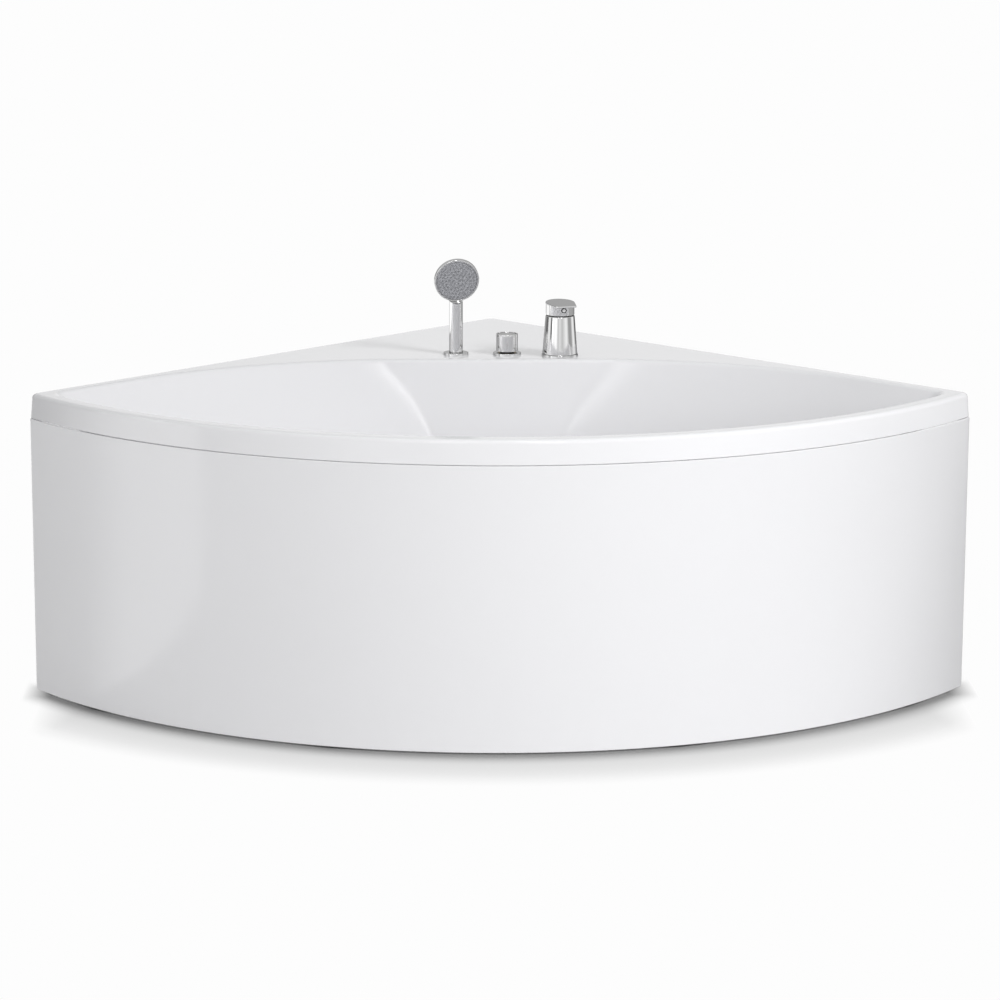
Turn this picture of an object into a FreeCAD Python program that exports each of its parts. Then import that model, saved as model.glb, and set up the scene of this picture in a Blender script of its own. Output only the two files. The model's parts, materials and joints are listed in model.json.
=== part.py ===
"""Corner bathtub for a right-angled room corner: acrylic shell on a steel cradle, curved apron,
deck-mounted mixer, diverter and hand shower, pop-up waste with overflow filler.

Frame: +Z up, the apron faces -Y, the two wall edges meet at the back on +Y.
Origin: centre of the footprint's box, at floor level. Millimetres.
"""

import FreeCAD, Part
import math
import os

V = FreeCAD.Vector
UP = V(0, 0, 1)
ORIGIN = V(0, 0, 0)
ROOT2 = math.sqrt(2.0)

# ---- tub footprint and height -------------------------------------------------------------
diagonal_depth = 1476.0     # sharp back corner to the middle of the apron
front_radius = 1184.0       # plan radius of the apron's face
rim_height = 625.0          # floor to the top of the rim
corner_round = 18.0         # the three corners of the footprint, seen from above

# ---- shell --------------------------------------------------------------------------------
shell_wall = 8.0            # acrylic with its glass-fibre backing
skirt_height = 50.0         # the rim's turned-down edge
skirt_wall = 6.0
skirt_draft = 4.0           # how much the skirt leans in from its lower edge to the top
skirt_setback = 2.0         # the skirt stands this far behind the apron's face
wall_trim = 0.02            # milled off the two wall edges, so that they stand flat on the tiles
rim_edge_round = 10.0       # outer top edge of the rim
lip_round = 12.0            # rim edge around the basin
front_rim = 46.0            # apron face to the basin's front edge
wall_rim = 32.0             # wall edge to the basin's side edge
back_ledge = 570.0          # sharp back corner to the basin's back edge
basin_depth = 430.0
floor_round = 80.0          # between the basin's walls and its floor

# How far each sloping wall stands in at the floor from its line at the rim.
front_run = 90.3
side_run = 369.8
back_run = 116.1

# The two creases that part the back wall from the side scoops.
crease_half_top = 256.0     # half the distance between them at the rim
crease_half_floor = 110.0    # the same near the floor
crease_decay = 110.0        # depth over which they draw together
crease_round = 70.0
scoop_radius = 850.0        # plan radius of the side scoops
tip_radius_top = 40.0       # plan radius at the basin's two pointed ends
tip_radius_floor = 110.0

# ---- apron --------------------------------------------------------------------------------
apron_wall = 5.0
apron_floor_gap = 3.0
apron_top_gap = 2.0         # shadow gap under the skirt
apron_return = 18.0         # flat turned end along each wall

# ---- steel cradle -------------------------------------------------------------------------
tube = 25.0                 # square tube
tube_wall = 2.0
board_thickness = 18.0      # board bonded under the basin floor
board_margin = 12.0
post_foot_height = 60.0     # floor to the lower end of the posts
post_gap = 7.5              # between a post and the apron's back
magnet_thickness = 5.0
pad_thickness = 5.0         # rubber between a post and the rim
front_post_share = 0.3131   # of the way round the apron's arc, from its middle to its end
side_post_share = 0.8287
back_post_setback = 60.0    # sharp back corner to the middle of the back post
middle_foot_setback = 139.8 # wide beam to the foot under the middle beam
magnet_radius = 10.0
plate_bond = 0.1            # adhesive between the apron and its steel plates
magnet_low = 90.0           # heights of the two magnets on each post
magnet_high = 530.0

# ---- feet ---------------------------------------------------------------------------------
stem_radius = 6.0
stem_clearance = 0.08
foot_pad_radius = 18.5
foot_pad_height = 14.0
stem_seat = 8.0             # the stem's lower end, above the floor
stem_engagement = 55.0      # stem inside the post
nut_block_height = 15.0
lock_nut_height = 10.0
lock_nut_flats = 19.0

# ---- waste and overflow -------------------------------------------------------------------
drain_setback = 289.3       # apron face to the middle of the drain
drain_flange_radius = 35.0
drain_flange_thickness = 2.5
drain_bore = 20.0           # radius
drain_thread_radius = 24.0
drain_body_radius = 38.0
drain_body_height = 62.0
drain_spigot = 25.0
board_hole_radius = 60.0
plug_stem_radius = 4.0
plug_stem_length = 62.0
plug_radius = 31.0
plug_rise = 4.0             # edge of the closed plug above the flange
plug_dome = 5.0
plug_travel = 10.0
seal_section = 3.0
trap_radius = 42.0
trap_height = 92.0
waste_pipe_radius = 21.0
waste_pipe_wall = 3.0
waste_pipe_height = 70.0    # axis above the floor
waste_pipe_length = 420.0
waste_spigot_length = 60.0  # the pipe's end, turned down to push into the house drain
waste_spigot_radius = 20.0
overflow_drop = 95.0        # rim to the middle of the overflow
overflow_plate_radius = 37.0
overflow_plate_thickness = 6.0
overflow_neck_radius = 24.0
overflow_body_depth = 30.0
overflow_body_radius = 34.0
overflow_knob_radius = 31.0
overflow_knob_height = 13.0
overflow_pipe_radius = 14.0
overflow_pipe_wall = 2.0
gasket_thickness = 3.0

# ---- deck fittings ------------------------------------------------------------------------
fittings_setback = 68.3     # basin's back edge to the hand shower and diverter
holder_x = -87.4
diverter_x = 23.7
mixer_x = 138.1
mixer_setback = 50.3
shank_radius = 19.5         # the same thread under all three fittings
shank_bore = 15.0
hole_clearance = 1.0        # between a shank and its deck hole
rosette_thickness = 5.0
washer_radius = 30.0
washer_thickness = 3.0
deck_nut_height = 9.0
deck_nut_flats = 52.0

handle_radius = 14.75
handle_depth = 62.0         # how far the handle reaches below the deck top
sleeve_depth = 85.0
sleeve_ledge = 12.0         # bore radius of the ledge the handle stands on
holder_rosette_radius = 27.0
hose_nut_radius = 10.5
hose_nut_length = 30.0
hose_spigot_radius = 7.0
head_radius = 48.8
head_height = 163.0         # deck top to the middle of the head
head_tilt = 15.0             # degrees, the spray face looks down
handset_yaw = 8.0           # degrees, the handset is turned a little to the right
head_front = 14.0           # spray face in front of the handle's axis
head_rim = 9.0              # thickness of the head at its edge
head_dome = 14.0            # bulge of its back
face_radius = 45.0
face_recess = 1.2
face_thickness = 3.0
nozzle_radius = 1.1
nozzle_height = 1.4
nozzle_rings = 5
nozzle_ring_step = 7.6

knob_radius = 23.5
knob_height = 46.0
knob_gap = 3.0              # shadow gap over the rosette
knob_round = 1.2
knob_neck_radius = 16.0
diverter_rosette_radius = 30.0
diverter_depth = 90.0
nipple_length = 14.0        # thread that the shower hose's nut takes
collar_depth = 2.0          # the nut's stop beside the valve's shank
spindle_radius = 5.0
running = 0.06              # radial clearance of a turning spindle

mixer_base_radius = 39.4
mixer_base_height = 5.0
mixer_foot_radius = 38.0
mixer_neck_radius = 31.6    # at the joint under the lever
mixer_neck_height = 88.8
mixer_joint_gap = 2.2
mixer_shank_length = 58.0
lever_height = 27.0
lever_top_radius = 31.0
lever_wall = 3.0
lever_plate = 4.0           # thickness of the lever's top plate
lever_reach = 44.0          # from the mixer's axis to the tip of the plate
lever_tip_half = 23.0       # half the width of the plate's straight tip
lever_slope = 4.0           # degrees, the plate falls towards its tip
lever_yaw = 16.0            # degrees, the lever points a little to the right
lever_pivot_height = 82.3   # above the deck top
lever_tilt = 20.0           # degrees the lever lifts
lever_relief = 24.0         # degrees of the slanted cut under the lever's back
cartridge_radius = 17.5
cartridge_low = 36.0        # above the deck top
cartridge_high = 72.3
carrier_radius = 12.0
carrier_thickness = 4.6
carrier_spindle_radius = 6.0
carrier_spindle_length = 20.0
lug_thickness = 3.0
lug_gap = 0.1
neck_opening = 15.0
pivot_pin_radius = 1.5
pin_clearance = 0.05
stem_width = 9.0
manifold_length = 86.0
manifold_width = 44.0
manifold_height = 30.0
inlet_spacing = 44.0
inlet_radius = 10.48        # half-inch pipe thread
inlet_length = 22.0
link_pipe_radius = 8.0
link_pipe_bore = 6.0

hose_radius = 7.5
hose_bore = 5.0
hose_bend = 25.0
hose_side = 95.0            # how far to the right the fill hose passes the trap
hose_level = 100.0          # height of its low run
hose_lead = 200.0           # how far it comes forward from the diverter while it drifts aside
cable_radius = 2.5
cable_side = 20.0
cable_level = 132.0

# ---- places worked out from the sizes above -----------------------------------------------
corner_cut = corner_round * (ROOT2 - 1.0)
depth_box = diagonal_depth - corner_cut
front_y = -depth_box / 2.0
corner_y = front_y + diagonal_depth
arc_y = front_y + front_radius
front_slope = front_run / basin_depth
side_slope = side_run / basin_depth
back_slope = back_run / basin_depth
drain_y = front_y + drain_setback
basin_back_y = corner_y - back_ledge
fittings_y = basin_back_y + fittings_setback
mixer_y = basin_back_y + mixer_setback
skirt_bottom = rim_height - skirt_height
rim_under = rim_height - shell_wall
apron_top = skirt_bottom - apron_top_gap
floor_top = rim_height - basin_depth
floor_under = floor_top - shell_wall
board_under = floor_under - board_thickness
beam_bottom = board_under - tube
post_radius_mid = front_radius - apron_wall - post_gap - tube / 2.0
post_top = rim_under - pad_thickness
fit = 0.3                   # gap between a loose piece and its seat
deck = rim_height


# ---- small helpers ------------------------------------------------------------------------
def cylinder(radius, height, x=0.0, y=0.0, z=0.0, axis=UP):
    return Part.makeCylinder(radius, height, V(x, y, z), axis)


def ring(outer, inner, height, x=0.0, y=0.0, z=0.0, axis=UP):
    return cylinder(outer, height, x, y, z, axis).cut(cylinder(inner, height, x, y, z, axis))


def cone(r_low, r_high, height, x=0.0, y=0.0, z=0.0):
    return Part.makeCone(r_low, r_high, height, V(x, y, z), UP)


def block(x0, x1, y0, y1, z0, z1):
    return Part.makeBox(x1 - x0, y1 - y0, z1 - z0, V(x0, y0, z0))


def turned(shape, degrees, about=ORIGIN, axis=UP):
    copy = shape.copy()
    copy.rotate(about, axis, degrees)
    return copy


def moved(shape, x=0.0, y=0.0, z=0.0):
    copy = shape.copy()
    copy.translate(V(x, y, z))
    return copy


def fused(first, *others):
    result = first
    for other in others:
        result = result.fuse(other)
    return result.removeSplitter()


def revolved(points, axis_point=ORIGIN, axis=UP):
    """A turned solid from a closed outline of (radius, height) points in the XZ plane."""
    corners = [V(r, 0, h) for r, h in points]
    wire = Part.makePolygon(corners + [corners[0]])
    solid = Part.Face(wire).revolve(ORIGIN, UP, 360)
    turn = FreeCAD.Rotation(UP, axis)
    solid.Placement = FreeCAD.Placement(axis_point, turn).multiply(solid.Placement)
    return solid


def hexagon(flats, height, x, y, z):
    across = flats / math.sqrt(3.0)
    corners = [
        V(x + across * math.cos(math.radians(60 * i)), y + across * math.sin(math.radians(60 * i)), z)
        for i in range(7)
    ]
    return Part.Face(Part.makePolygon(corners)).extrude(V(0, 0, height))


def pipe_along(points, radius, bend, bore=0.0):
    """A round pipe along straight runs, each corner turned with a tangent arc of radius bend."""
    edges = []
    start = points[0]
    for i in range(1, len(points) - 1):
        before = (points[i - 1] - points[i]).normalize()
        after = (points[i + 1] - points[i]).normalize()
        half_turn = (math.pi - before.getAngle(after)) / 2.0
        back_off = bend * math.tan(half_turn)
        enter = points[i] + before * back_off
        leave = points[i] + after * back_off
        middle = (before + after).normalize()
        centre_distance = bend / math.cos(half_turn)
        top = points[i] + middle * (centre_distance - bend)
        edges.append(Part.LineSegment(start, enter).toShape())
        edges.append(Part.Arc(enter, top, leave).toShape())
        start = leave
    edges.append(Part.LineSegment(start, points[-1]).toShape())
    spine = Part.Wire(edges)
    direction = points[1] - points[0]

    def swept(r):
        profile = Part.Wire(Part.makeCircle(r, points[0], direction))
        return spine.makePipeShell([profile], True, False)

    outside = swept(radius)
    return outside.cut(swept(bore)) if bore else outside


# ---- plan outlines ------------------------------------------------------------------------
def tangent_circle(front_r, line_sum, radius):
    """Centre of a circle inside the front arc and inside the wall line x + y = line_sum."""
    level = line_sum - ROOT2 * radius
    lift = level - arc_y
    reach = front_r - radius
    x = (lift + math.sqrt(2.0 * reach ** 2 - lift ** 2)) / 2.0
    return x, level - x


def on_circle(cx, cy, radius, degrees):
    angle = math.radians(degrees)
    return cx + radius * math.cos(angle), cy + radius * math.sin(angle)


def arc_edge(cx, cy, radius, start, end, z):
    points = [on_circle(cx, cy, radius, a) for a in (start, (start + end) / 2.0, end)]
    return Part.Arc(*[V(x, y, z) for x, y in points]).toShape()


def line_edge(a, b, z):
    return Part.LineSegment(V(a[0], a[1], z), V(b[0], b[1], z)).toShape()


def front_angle(x, y):
    """Direction of (x, y) seen from the centre of the front arc, in degrees."""
    return math.degrees(math.atan2(y - arc_y, x))


def fan_wire(z, front_inset, wall_inset, rounding):
    """The footprint's outline: front arc, two rounded ends, two wall lines, rounded back."""
    front_r = front_radius - front_inset
    line_sum = corner_y - ROOT2 * wall_inset
    cx, cy = tangent_circle(front_r, line_sum, rounding)
    end = front_angle(cx, cy)
    back_cy = line_sum - ROOT2 * rounding
    right_low = on_circle(cx, cy, rounding, 45)
    right_high = on_circle(0, back_cy, rounding, 45)
    left_low = (-right_low[0], right_low[1])
    left_high = (-right_high[0], right_high[1])
    edges = [
        arc_edge(0, arc_y, front_r, -180 - end, end, z),
        arc_edge(cx, cy, rounding, end, 45, z),
        line_edge(right_low, right_high, z),
        arc_edge(0, back_cy, rounding, 45, 135, z),
        line_edge(left_high, left_low, z),
        arc_edge(-cx, cy, rounding, 135, 180 - end, z),
    ]
    return Part.Wire(edges)


def wall_run(depth, slope, total, lip, foot, thickness):
    """How far a sloping wall stands in from its line at the rim, with its rounded top and foot."""
    lean = math.atan(slope)
    outward = thickness * math.sqrt(1.0 + slope ** 2)
    lip_end = lip * (1.0 - math.sin(lean))
    above_floor = total - depth
    foot_end = foot * (1.0 - math.sin(lean))
    if depth < lip_end:
        sweep = math.acos(1.0 - max(depth, 0.0) / lip)
        tangent = lip * math.tan((math.pi / 2.0 - lean) / 2.0)
        return lip * math.sin(sweep) - tangent - outward
    if above_floor < foot_end:
        sweep = math.acos(1.0 - above_floor / foot)
        tangent = foot * math.tan((math.pi / 2.0 - lean) / 2.0)
        return slope * total + tangent - foot * math.sin(sweep) - outward
    return slope * depth - outward


def basin_wire(depth, z, lip=lip_round, thickness=0.0, margin=0.0):
    """The basin's outline at a depth below the rim. thickness gives the outside of its wall."""
    total = basin_depth + thickness
    foot = floor_round + thickness
    share = min(max(depth / basin_depth, 0.0), 1.0)

    def run(slope):
        return wall_run(min(depth, total), slope, total, lip, foot, thickness) + margin

    front_r = front_radius - front_rim - run(front_slope)
    side_sum = corner_y - ROOT2 * (wall_rim + run(side_slope))
    back = basin_back_y - run(back_slope)
    crease = crease_half_floor + (crease_half_top - crease_half_floor) * math.exp(
        -max(depth, 0.0) / crease_decay
    )
    crease -= run(back_slope) - back_slope * max(depth, 0.0)
    scoop = scoop_radius + thickness
    tip = tip_radius_top + (tip_radius_floor - tip_radius_top) * share + thickness

    reach = (side_sum - crease - back) / ROOT2
    sweep = math.degrees(math.acos(1.0 - reach / scoop))
    dx, dy = on_circle(0, 0, scoop, 45 + sweep)
    scoop_x, scoop_y = crease - dx, back - dy
    scoop_foot = on_circle(scoop_x, scoop_y, scoop, 45)

    round_y = back - crease_round
    round_x = scoop_x + math.sqrt((scoop - crease_round) ** 2 - (round_y - scoop_y) ** 2)
    meet = math.degrees(math.atan2(round_y - scoop_y, round_x - scoop_x))

    tip_x, tip_y = tangent_circle(front_r, side_sum, tip)
    tip_turn = front_angle(tip_x, tip_y)
    tip_foot = on_circle(tip_x, tip_y, tip, 45)
    edges = [
        arc_edge(0, arc_y, front_r, -180 - tip_turn, tip_turn, z),
        arc_edge(tip_x, tip_y, tip, tip_turn, 45, z),
        line_edge(tip_foot, scoop_foot, z),
        arc_edge(scoop_x, scoop_y, scoop, 45, meet, z),
        arc_edge(round_x, round_y, crease_round, meet, 90, z),
        line_edge((round_x, back), (-round_x, back), z),
        arc_edge(-round_x, round_y, crease_round, 90, 180 - meet, z),
        arc_edge(-scoop_x, scoop_y, scoop, 180 - meet, 135, z),
        line_edge((-scoop_foot[0], scoop_foot[1]), (-tip_foot[0], tip_foot[1]), z),
        arc_edge(-tip_x, tip_y, tip, 135, 180 - tip_turn, z),
    ]
    return Part.Wire(edges)



def basin_depths(total, lip, foot):
    """Depths of the outlines that the basin is drawn through, closer where it turns."""
    top = [share * lip for share in (0.0, 0.04, 0.14, 0.34, 0.6, 0.82, 1.0)]
    middle_start = lip + 18.0
    middle_end = total - foot
    middle = [middle_start + (middle_end - middle_start) * i / 4.0 for i in range(5)]
    low = [total - share * foot for share in (0.8, 0.62, 0.46, 0.32, 0.2, 0.11, 0.05, 0.015, 0.0)]
    return top + middle + low


def basin_solid(thickness):
    """The basin as a filled form: its inside, or with a thickness its outside."""
    total = basin_depth + thickness
    depths = basin_depths(total, lip_round, floor_round + thickness)
    if thickness:
        depths = [d for d in depths if d >= thickness]
        depths = [thickness] + [d for d in depths if d > thickness + 1.0]
    wires = [basin_wire(d, rim_height - d, lip_round, thickness) for d in depths]
    return Part.makeLoft(wires, True, False)


# ---- where the pieces go ------------------------------------------------------------------
parts = {}


def keep(name, *shapes):
    """Note a node: one solid, or a group of separate ones."""
    parts[name] = shapes[0] if len(shapes) == 1 else Part.makeCompound(list(shapes))
    return parts[name]


def arc_point(angle, radius):
    """A place on the apron's arc, measured in degrees from its middle."""
    return radius * math.sin(math.radians(angle)), arc_y - radius * math.cos(math.radians(angle))


def square_bar(length, half, x, y, z, turn=0.0):
    bar = block(-half, half, -half, half, 0, length)
    return moved(turned(bar, turn), x, y, z)


def lying_bar(start, end, half, z):
    """A square bar lying between two places, its underside at z."""
    dx = end[0] - start[0]
    dy = end[1] - start[1]
    bar = block(0, math.hypot(dx, dy), -half, half, 0, 2 * half)
    return moved(turned(bar, math.degrees(math.atan2(dy, dx))), start[0], start[1], z)


# ---- shell --------------------------------------------------------------------------------
skirt_top_inset = skirt_setback + skirt_draft
rim_low = fan_wire(skirt_bottom, skirt_setback, -wall_trim, corner_round)
rim_high = fan_wire(rim_height, skirt_top_inset, -wall_trim, corner_round)
rim = Part.makeLoft([rim_low, rim_high], True, True)
top_edges = [
    e for e in rim.Edges
    if e.BoundBox.ZMin > rim_height - 0.01
]
rim = rim.makeFillet(rim_edge_round, top_edges)
for side, turn in ((1, 45), (-1, 135)):
    beyond_wall = turned(block(0, depth_box, -depth_box, depth_box, 0, rim_height + 1), turn)
    rim = rim.cut(moved(beyond_wall, side * corner_y / 2.0, corner_y / 2.0))
cavity = Part.Face(
    fan_wire(skirt_bottom, skirt_top_inset + skirt_wall, skirt_wall, corner_round - skirt_wall)
).extrude(V(0, 0, rim_under - skirt_bottom))
basin_outside = basin_solid(shell_wall)
basin_inside = basin_solid(0.0)
shell = rim.cut(cavity).fuse(basin_outside).cut(basin_inside)
fittings = ((holder_x, fittings_y), (diverter_x, fittings_y), (mixer_x, mixer_y))
for x, y in fittings:
    shell = shell.cut(cylinder(shank_radius + hole_clearance, 60, x, y, rim_under - 20))
shell = shell.cut(
    cylinder(drain_thread_radius + hole_clearance, 60, 0, drain_y, floor_under - 20)
)

overflow_depth = overflow_drop
overflow_lean = math.atan(front_slope)
overflow_axis = V(0, math.cos(overflow_lean), math.sin(overflow_lean))
overflow_seat = V(
    0, front_y + front_rim + front_slope * overflow_depth, rim_height - overflow_depth
)


def on_overflow(shape):
    """Move a piece drawn about +Z, the basin's inner face at 0, onto the overflow's axis."""
    copy = shape.copy()
    copy.Placement = FreeCAD.Placement(
        overflow_seat, FreeCAD.Rotation(UP, overflow_axis)
    ).multiply(copy.Placement)
    return copy


neck_hole = overflow_neck_radius + hole_clearance / 2.0
shell = shell.cut(on_overflow(cylinder(neck_hole, 60, 0, 0, -30)))
keep("tub_shell", shell)

board = Part.Face(
    basin_wire(basin_depth + shell_wall, board_under, lip_round, shell_wall, board_margin)
).extrude(V(0, 0, board_thickness))
keep("base_board", board.cut(cylinder(board_hole_radius, 60, 0, drain_y, board_under - 20)))

# ---- apron --------------------------------------------------------------------------------
end_x, end_y = tangent_circle(front_radius, corner_y, corner_round)
apron_half_angle = 90.0 + front_angle(end_x, end_y)
return_y = on_circle(end_x, end_y, corner_round, 45)[1] + apron_return / ROOT2
apron_height = apron_top - apron_floor_gap
apron_ring = Part.Face(
    fan_wire(apron_floor_gap, 0.0, 0.0, corner_round)
).extrude(V(0, 0, apron_height)).cut(
    Part.Face(
        fan_wire(apron_floor_gap, apron_wall, apron_wall, corner_round - apron_wall)
    ).extrude(V(0, 0, apron_height))
)
apron = apron_ring.common(block(-depth_box, depth_box, front_y - 1, return_y, 0, rim_height))
keep("apron_panel", apron)

# ---- steel cradle -------------------------------------------------------------------------
half_tube = tube / 2.0
half_hole = half_tube - tube_wall
back_post_y = corner_y - back_post_setback - half_tube * ROOT2
front_post_angle = apron_half_angle * front_post_share
side_post_angle = apron_half_angle * side_post_share
posts = {
    "left": arc_point(-side_post_angle, post_radius_mid) + (-side_post_angle,),
    "right": arc_point(side_post_angle, post_radius_mid) + (side_post_angle,),
    "front_left": arc_point(-front_post_angle, post_radius_mid) + (-front_post_angle,),
    "front_right": arc_point(front_post_angle, post_radius_mid) + (front_post_angle,),
    "back": (0.0, back_post_y, 0.0),
}
post_length = post_top - post_foot_height
weld_nuts = []
lock_nuts = []
rim_pads = []
magnets = []
plates = []
stem_hole = stem_radius + stem_clearance
for name, (x, y, turn) in posts.items():
    solid_bar = square_bar(post_length, half_tube, x, y, post_foot_height, turn)
    inside = square_bar(post_length, half_hole, x, y, post_foot_height, turn)
    keep("post_" + name, solid_bar.cut(inside))
    nut = square_bar(nut_block_height, half_hole, x, y, post_foot_height, turn)
    weld_nuts.append(nut.cut(cylinder(stem_hole, nut_block_height, x, y, post_foot_height)))
    rim_pads.append(square_bar(pad_thickness, half_tube, x, y, post_top, turn))
    if name != "back":
        out_x, out_y = arc_point(turn, 1.0)
        outward = V(out_x, out_y - arc_y, 0)
        face_x, face_y = arc_point(turn, post_radius_mid + half_tube)
        for height in (magnet_low, magnet_high):
            magnets.append(
                cylinder(magnet_radius, magnet_thickness, face_x, face_y, height, outward)
            )
            plate_x, plate_y = arc_point(turn, post_radius_mid + half_tube + magnet_thickness)
            plate_depth = post_gap - magnet_thickness - plate_bond
            plates.append(
                cylinder(magnet_radius, plate_depth, plate_x, plate_y, height, outward)
            )

side_x, side_y, side_turn = posts["right"]
front_x, front_post_y, front_turn = posts["front_right"]


def cradle_beam(start, end, *meets):
    """A lying tube, coped where it meets the others."""
    beam = lying_bar(start, end, half_tube, beam_bottom).cut(
        lying_bar(start, end, half_hole, beam_bottom + tube_wall)
    )
    for other in meets:
        beam = beam.cut(other)
    return beam


def post_outline(name):
    x, y, turn = posts[name]
    return square_bar(post_length, half_tube, x, y, post_foot_height, turn)


wide_outline = lying_bar((-side_x, side_y), (side_x, side_y), half_tube, beam_bottom)
keep("beam_wide", cradle_beam(
    (-side_x, side_y), (side_x, side_y), post_outline("left"), post_outline("right")
))
for name, sign in (("left", -1), ("right", 1)):
    keep("beam_front_" + name, cradle_beam(
        (sign * front_x, front_post_y), (sign * front_x, side_y),
        post_outline("front_" + name), wide_outline,
    ))
middle_foot_y = side_y + middle_foot_setback
middle_hole = cylinder(stem_radius + 1.0, 10, 0, middle_foot_y, beam_bottom - 5)
keep("beam_back", cradle_beam(
    (0, side_y), (0, back_post_y), post_outline("back"), wide_outline, middle_hole
))
middle_nut_low = beam_bottom - nut_block_height
middle_nut = square_bar(nut_block_height, half_hole, 0, middle_foot_y, middle_nut_low)
weld_nuts.append(
    middle_nut.cut(cylinder(stem_hole, nut_block_height, 0, middle_foot_y, middle_nut_low))
)


def lock_nut(x, y, top):
    nut = hexagon(lock_nut_flats, lock_nut_height, x, y, top - lock_nut_height)
    return nut.cut(cylinder(stem_hole, lock_nut_height, x, y, top - lock_nut_height))


def foot(x, y, stem_top):
    """A levelling foot: moulded pad with its threaded stem."""
    pad = cylinder(foot_pad_radius, foot_pad_height * 0.45, x, y, 0)
    upper = cone(
        foot_pad_radius, stem_radius + 6.0, foot_pad_height * 0.55, x, y, foot_pad_height * 0.45
    )
    return fused(pad, upper, cylinder(stem_radius, stem_top - stem_seat, x, y, stem_seat))


for name, (x, y, turn) in posts.items():
    lock_nuts.append(lock_nut(x, y, post_foot_height))
    keep("foot_" + name, foot(x, y, post_foot_height + stem_engagement))
lock_nuts.append(lock_nut(0, middle_foot_y, middle_nut_low))
keep("foot_middle", foot(0, middle_foot_y, board_under - tube_wall - 6.0))
keep("weld_nuts", *weld_nuts)
keep("lock_nuts", *lock_nuts)
keep("rim_pads", *rim_pads)
keep("apron_magnets", *magnets)
keep("apron_plates", *plates)

# ---- waste --------------------------------------------------------------------------------
def at_drain(shape, z):
    return moved(shape, 0, drain_y, z)


flange = revolved([
    (drain_bore, -drain_spigot),
    (drain_thread_radius, -drain_spigot),
    (drain_thread_radius, 0),
    (drain_flange_radius, 0),
    (drain_flange_radius, drain_flange_thickness * 0.5),
    (drain_flange_radius - 2.0, drain_flange_thickness),
    (drain_bore + 2.0, drain_flange_thickness),
    (drain_bore, drain_flange_thickness * 0.3),
])
keep("drain_flange", at_drain(flange, floor_top))
keep("drain_gasket", ring(
    drain_body_radius - 2, drain_thread_radius, gasket_thickness,
    0, drain_y, floor_under - gasket_thickness,
))
drain_body_top = floor_under - gasket_thickness
body = revolved([
    (drain_thread_radius, 0),
    (drain_body_radius, 0),
    (drain_body_radius, -6.0),
    (drain_thread_radius + 6.0, -6.0),
    (drain_thread_radius + 6.0, -drain_body_height),
    (drain_bore - 2.0, -drain_body_height),
    (drain_bore - 2.0, -drain_body_height + 4.0),
    (drain_thread_radius + 3.0, -drain_body_height + 4.0),
    (drain_thread_radius + 3.0, -drain_spigot),
    (drain_thread_radius, -drain_spigot),
])
bridge_low = -drain_body_height + 16.0
bridge = block(
    -drain_thread_radius - 4.0, drain_thread_radius + 4.0, -5.0, 5.0, bridge_low, bridge_low + 6.0
)
body = fused(body, bridge).cut(
    cylinder(plug_stem_radius + running, 20, 0, 0, bridge_low - 5)
)
body = at_drain(body, drain_body_top)

overflow_mid = -shell_wall - gasket_thickness - overflow_body_depth / 2.0
pipe_top = overflow_seat + overflow_axis * overflow_mid
pipe_top.z -= overflow_body_radius - 4.0
pipe_level = drain_body_top - drain_body_height / 2.0 - 9.0
pipe_route = [
    pipe_top,
    V(0, pipe_top.y, pipe_level),
    V(0, drain_y - drain_thread_radius - 3.5, pipe_level),
]
overflow_pipe = pipe_along(pipe_route, overflow_pipe_radius, 40.0,
                           overflow_pipe_radius - overflow_pipe_wall)
pipe_filled = pipe_along(pipe_route, overflow_pipe_radius, 40.0)
keep("overflow_pipe", overflow_pipe)
keep("drain_body", body.cut(pipe_filled))

plug_low = floor_top + drain_flange_thickness + fit
plug = revolved([
    (0, seal_section),
    (plug_radius, seal_section),
    (plug_radius, seal_section + 1.0),
    (plug_radius - 3.0, seal_section + plug_dome * 0.6),
    (plug_radius * 0.5, seal_section + plug_dome),
    (0, seal_section + plug_dome),
])
keep("plug_cap", at_drain(plug, plug_low))
keep("plug_seal", at_drain(ring(plug_radius - 2.0, plug_radius - 7.0, seal_section), plug_low))
plug_stem = cylinder(
    plug_stem_radius, plug_stem_length, 0, drain_y, plug_low + seal_section - plug_stem_length
)
keep("plug_stem", plug_stem)

trap_top = drain_body_top - drain_body_height
trap_low = trap_top - trap_height
trap = revolved([
    (drain_bore, trap_height),
    (drain_bore, trap_height * 0.3),
    (drain_bore - 2.0, trap_height * 0.3),
    (drain_bore - 2.0, trap_height - 4.0),
    (drain_bore - 4.0, trap_height - 4.0),
    (drain_bore - 4.0, trap_height),
])
trap_wall = 3.0
cup = cylinder(trap_radius, trap_height, 0, 0, 0).cut(
    cylinder(trap_radius - trap_wall, trap_height - 2 * trap_wall, 0, 0, trap_wall)
).cut(cylinder(drain_bore - 4.0, trap_wall * 3, 0, 0, trap_height - 2 * trap_wall))
inner_tube = ring(drain_bore, drain_bore - 3.0, trap_height * 0.65, 0, 0, trap_height * 0.35 - 1)
trap = at_drain(fused(cup, inner_tube), trap_low)
waste_way = V(-1, 1, 0).normalize()
waste_start = V(0, drain_y, trap_low + trap_height * 0.6) + waste_way * (trap_radius - 2.5)
waste_filled = Part.makeCylinder(
    waste_pipe_radius, waste_pipe_length - waste_spigot_length, waste_start, waste_way
).fuse(Part.makeCylinder(waste_spigot_radius, waste_pipe_length, waste_start, waste_way))
keep("trap", trap.cut(waste_filled))
keep("waste_pipe", waste_filled.cut(Part.makeCylinder(
    waste_pipe_radius - waste_pipe_wall, waste_pipe_length, waste_start, waste_way
)))

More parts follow.
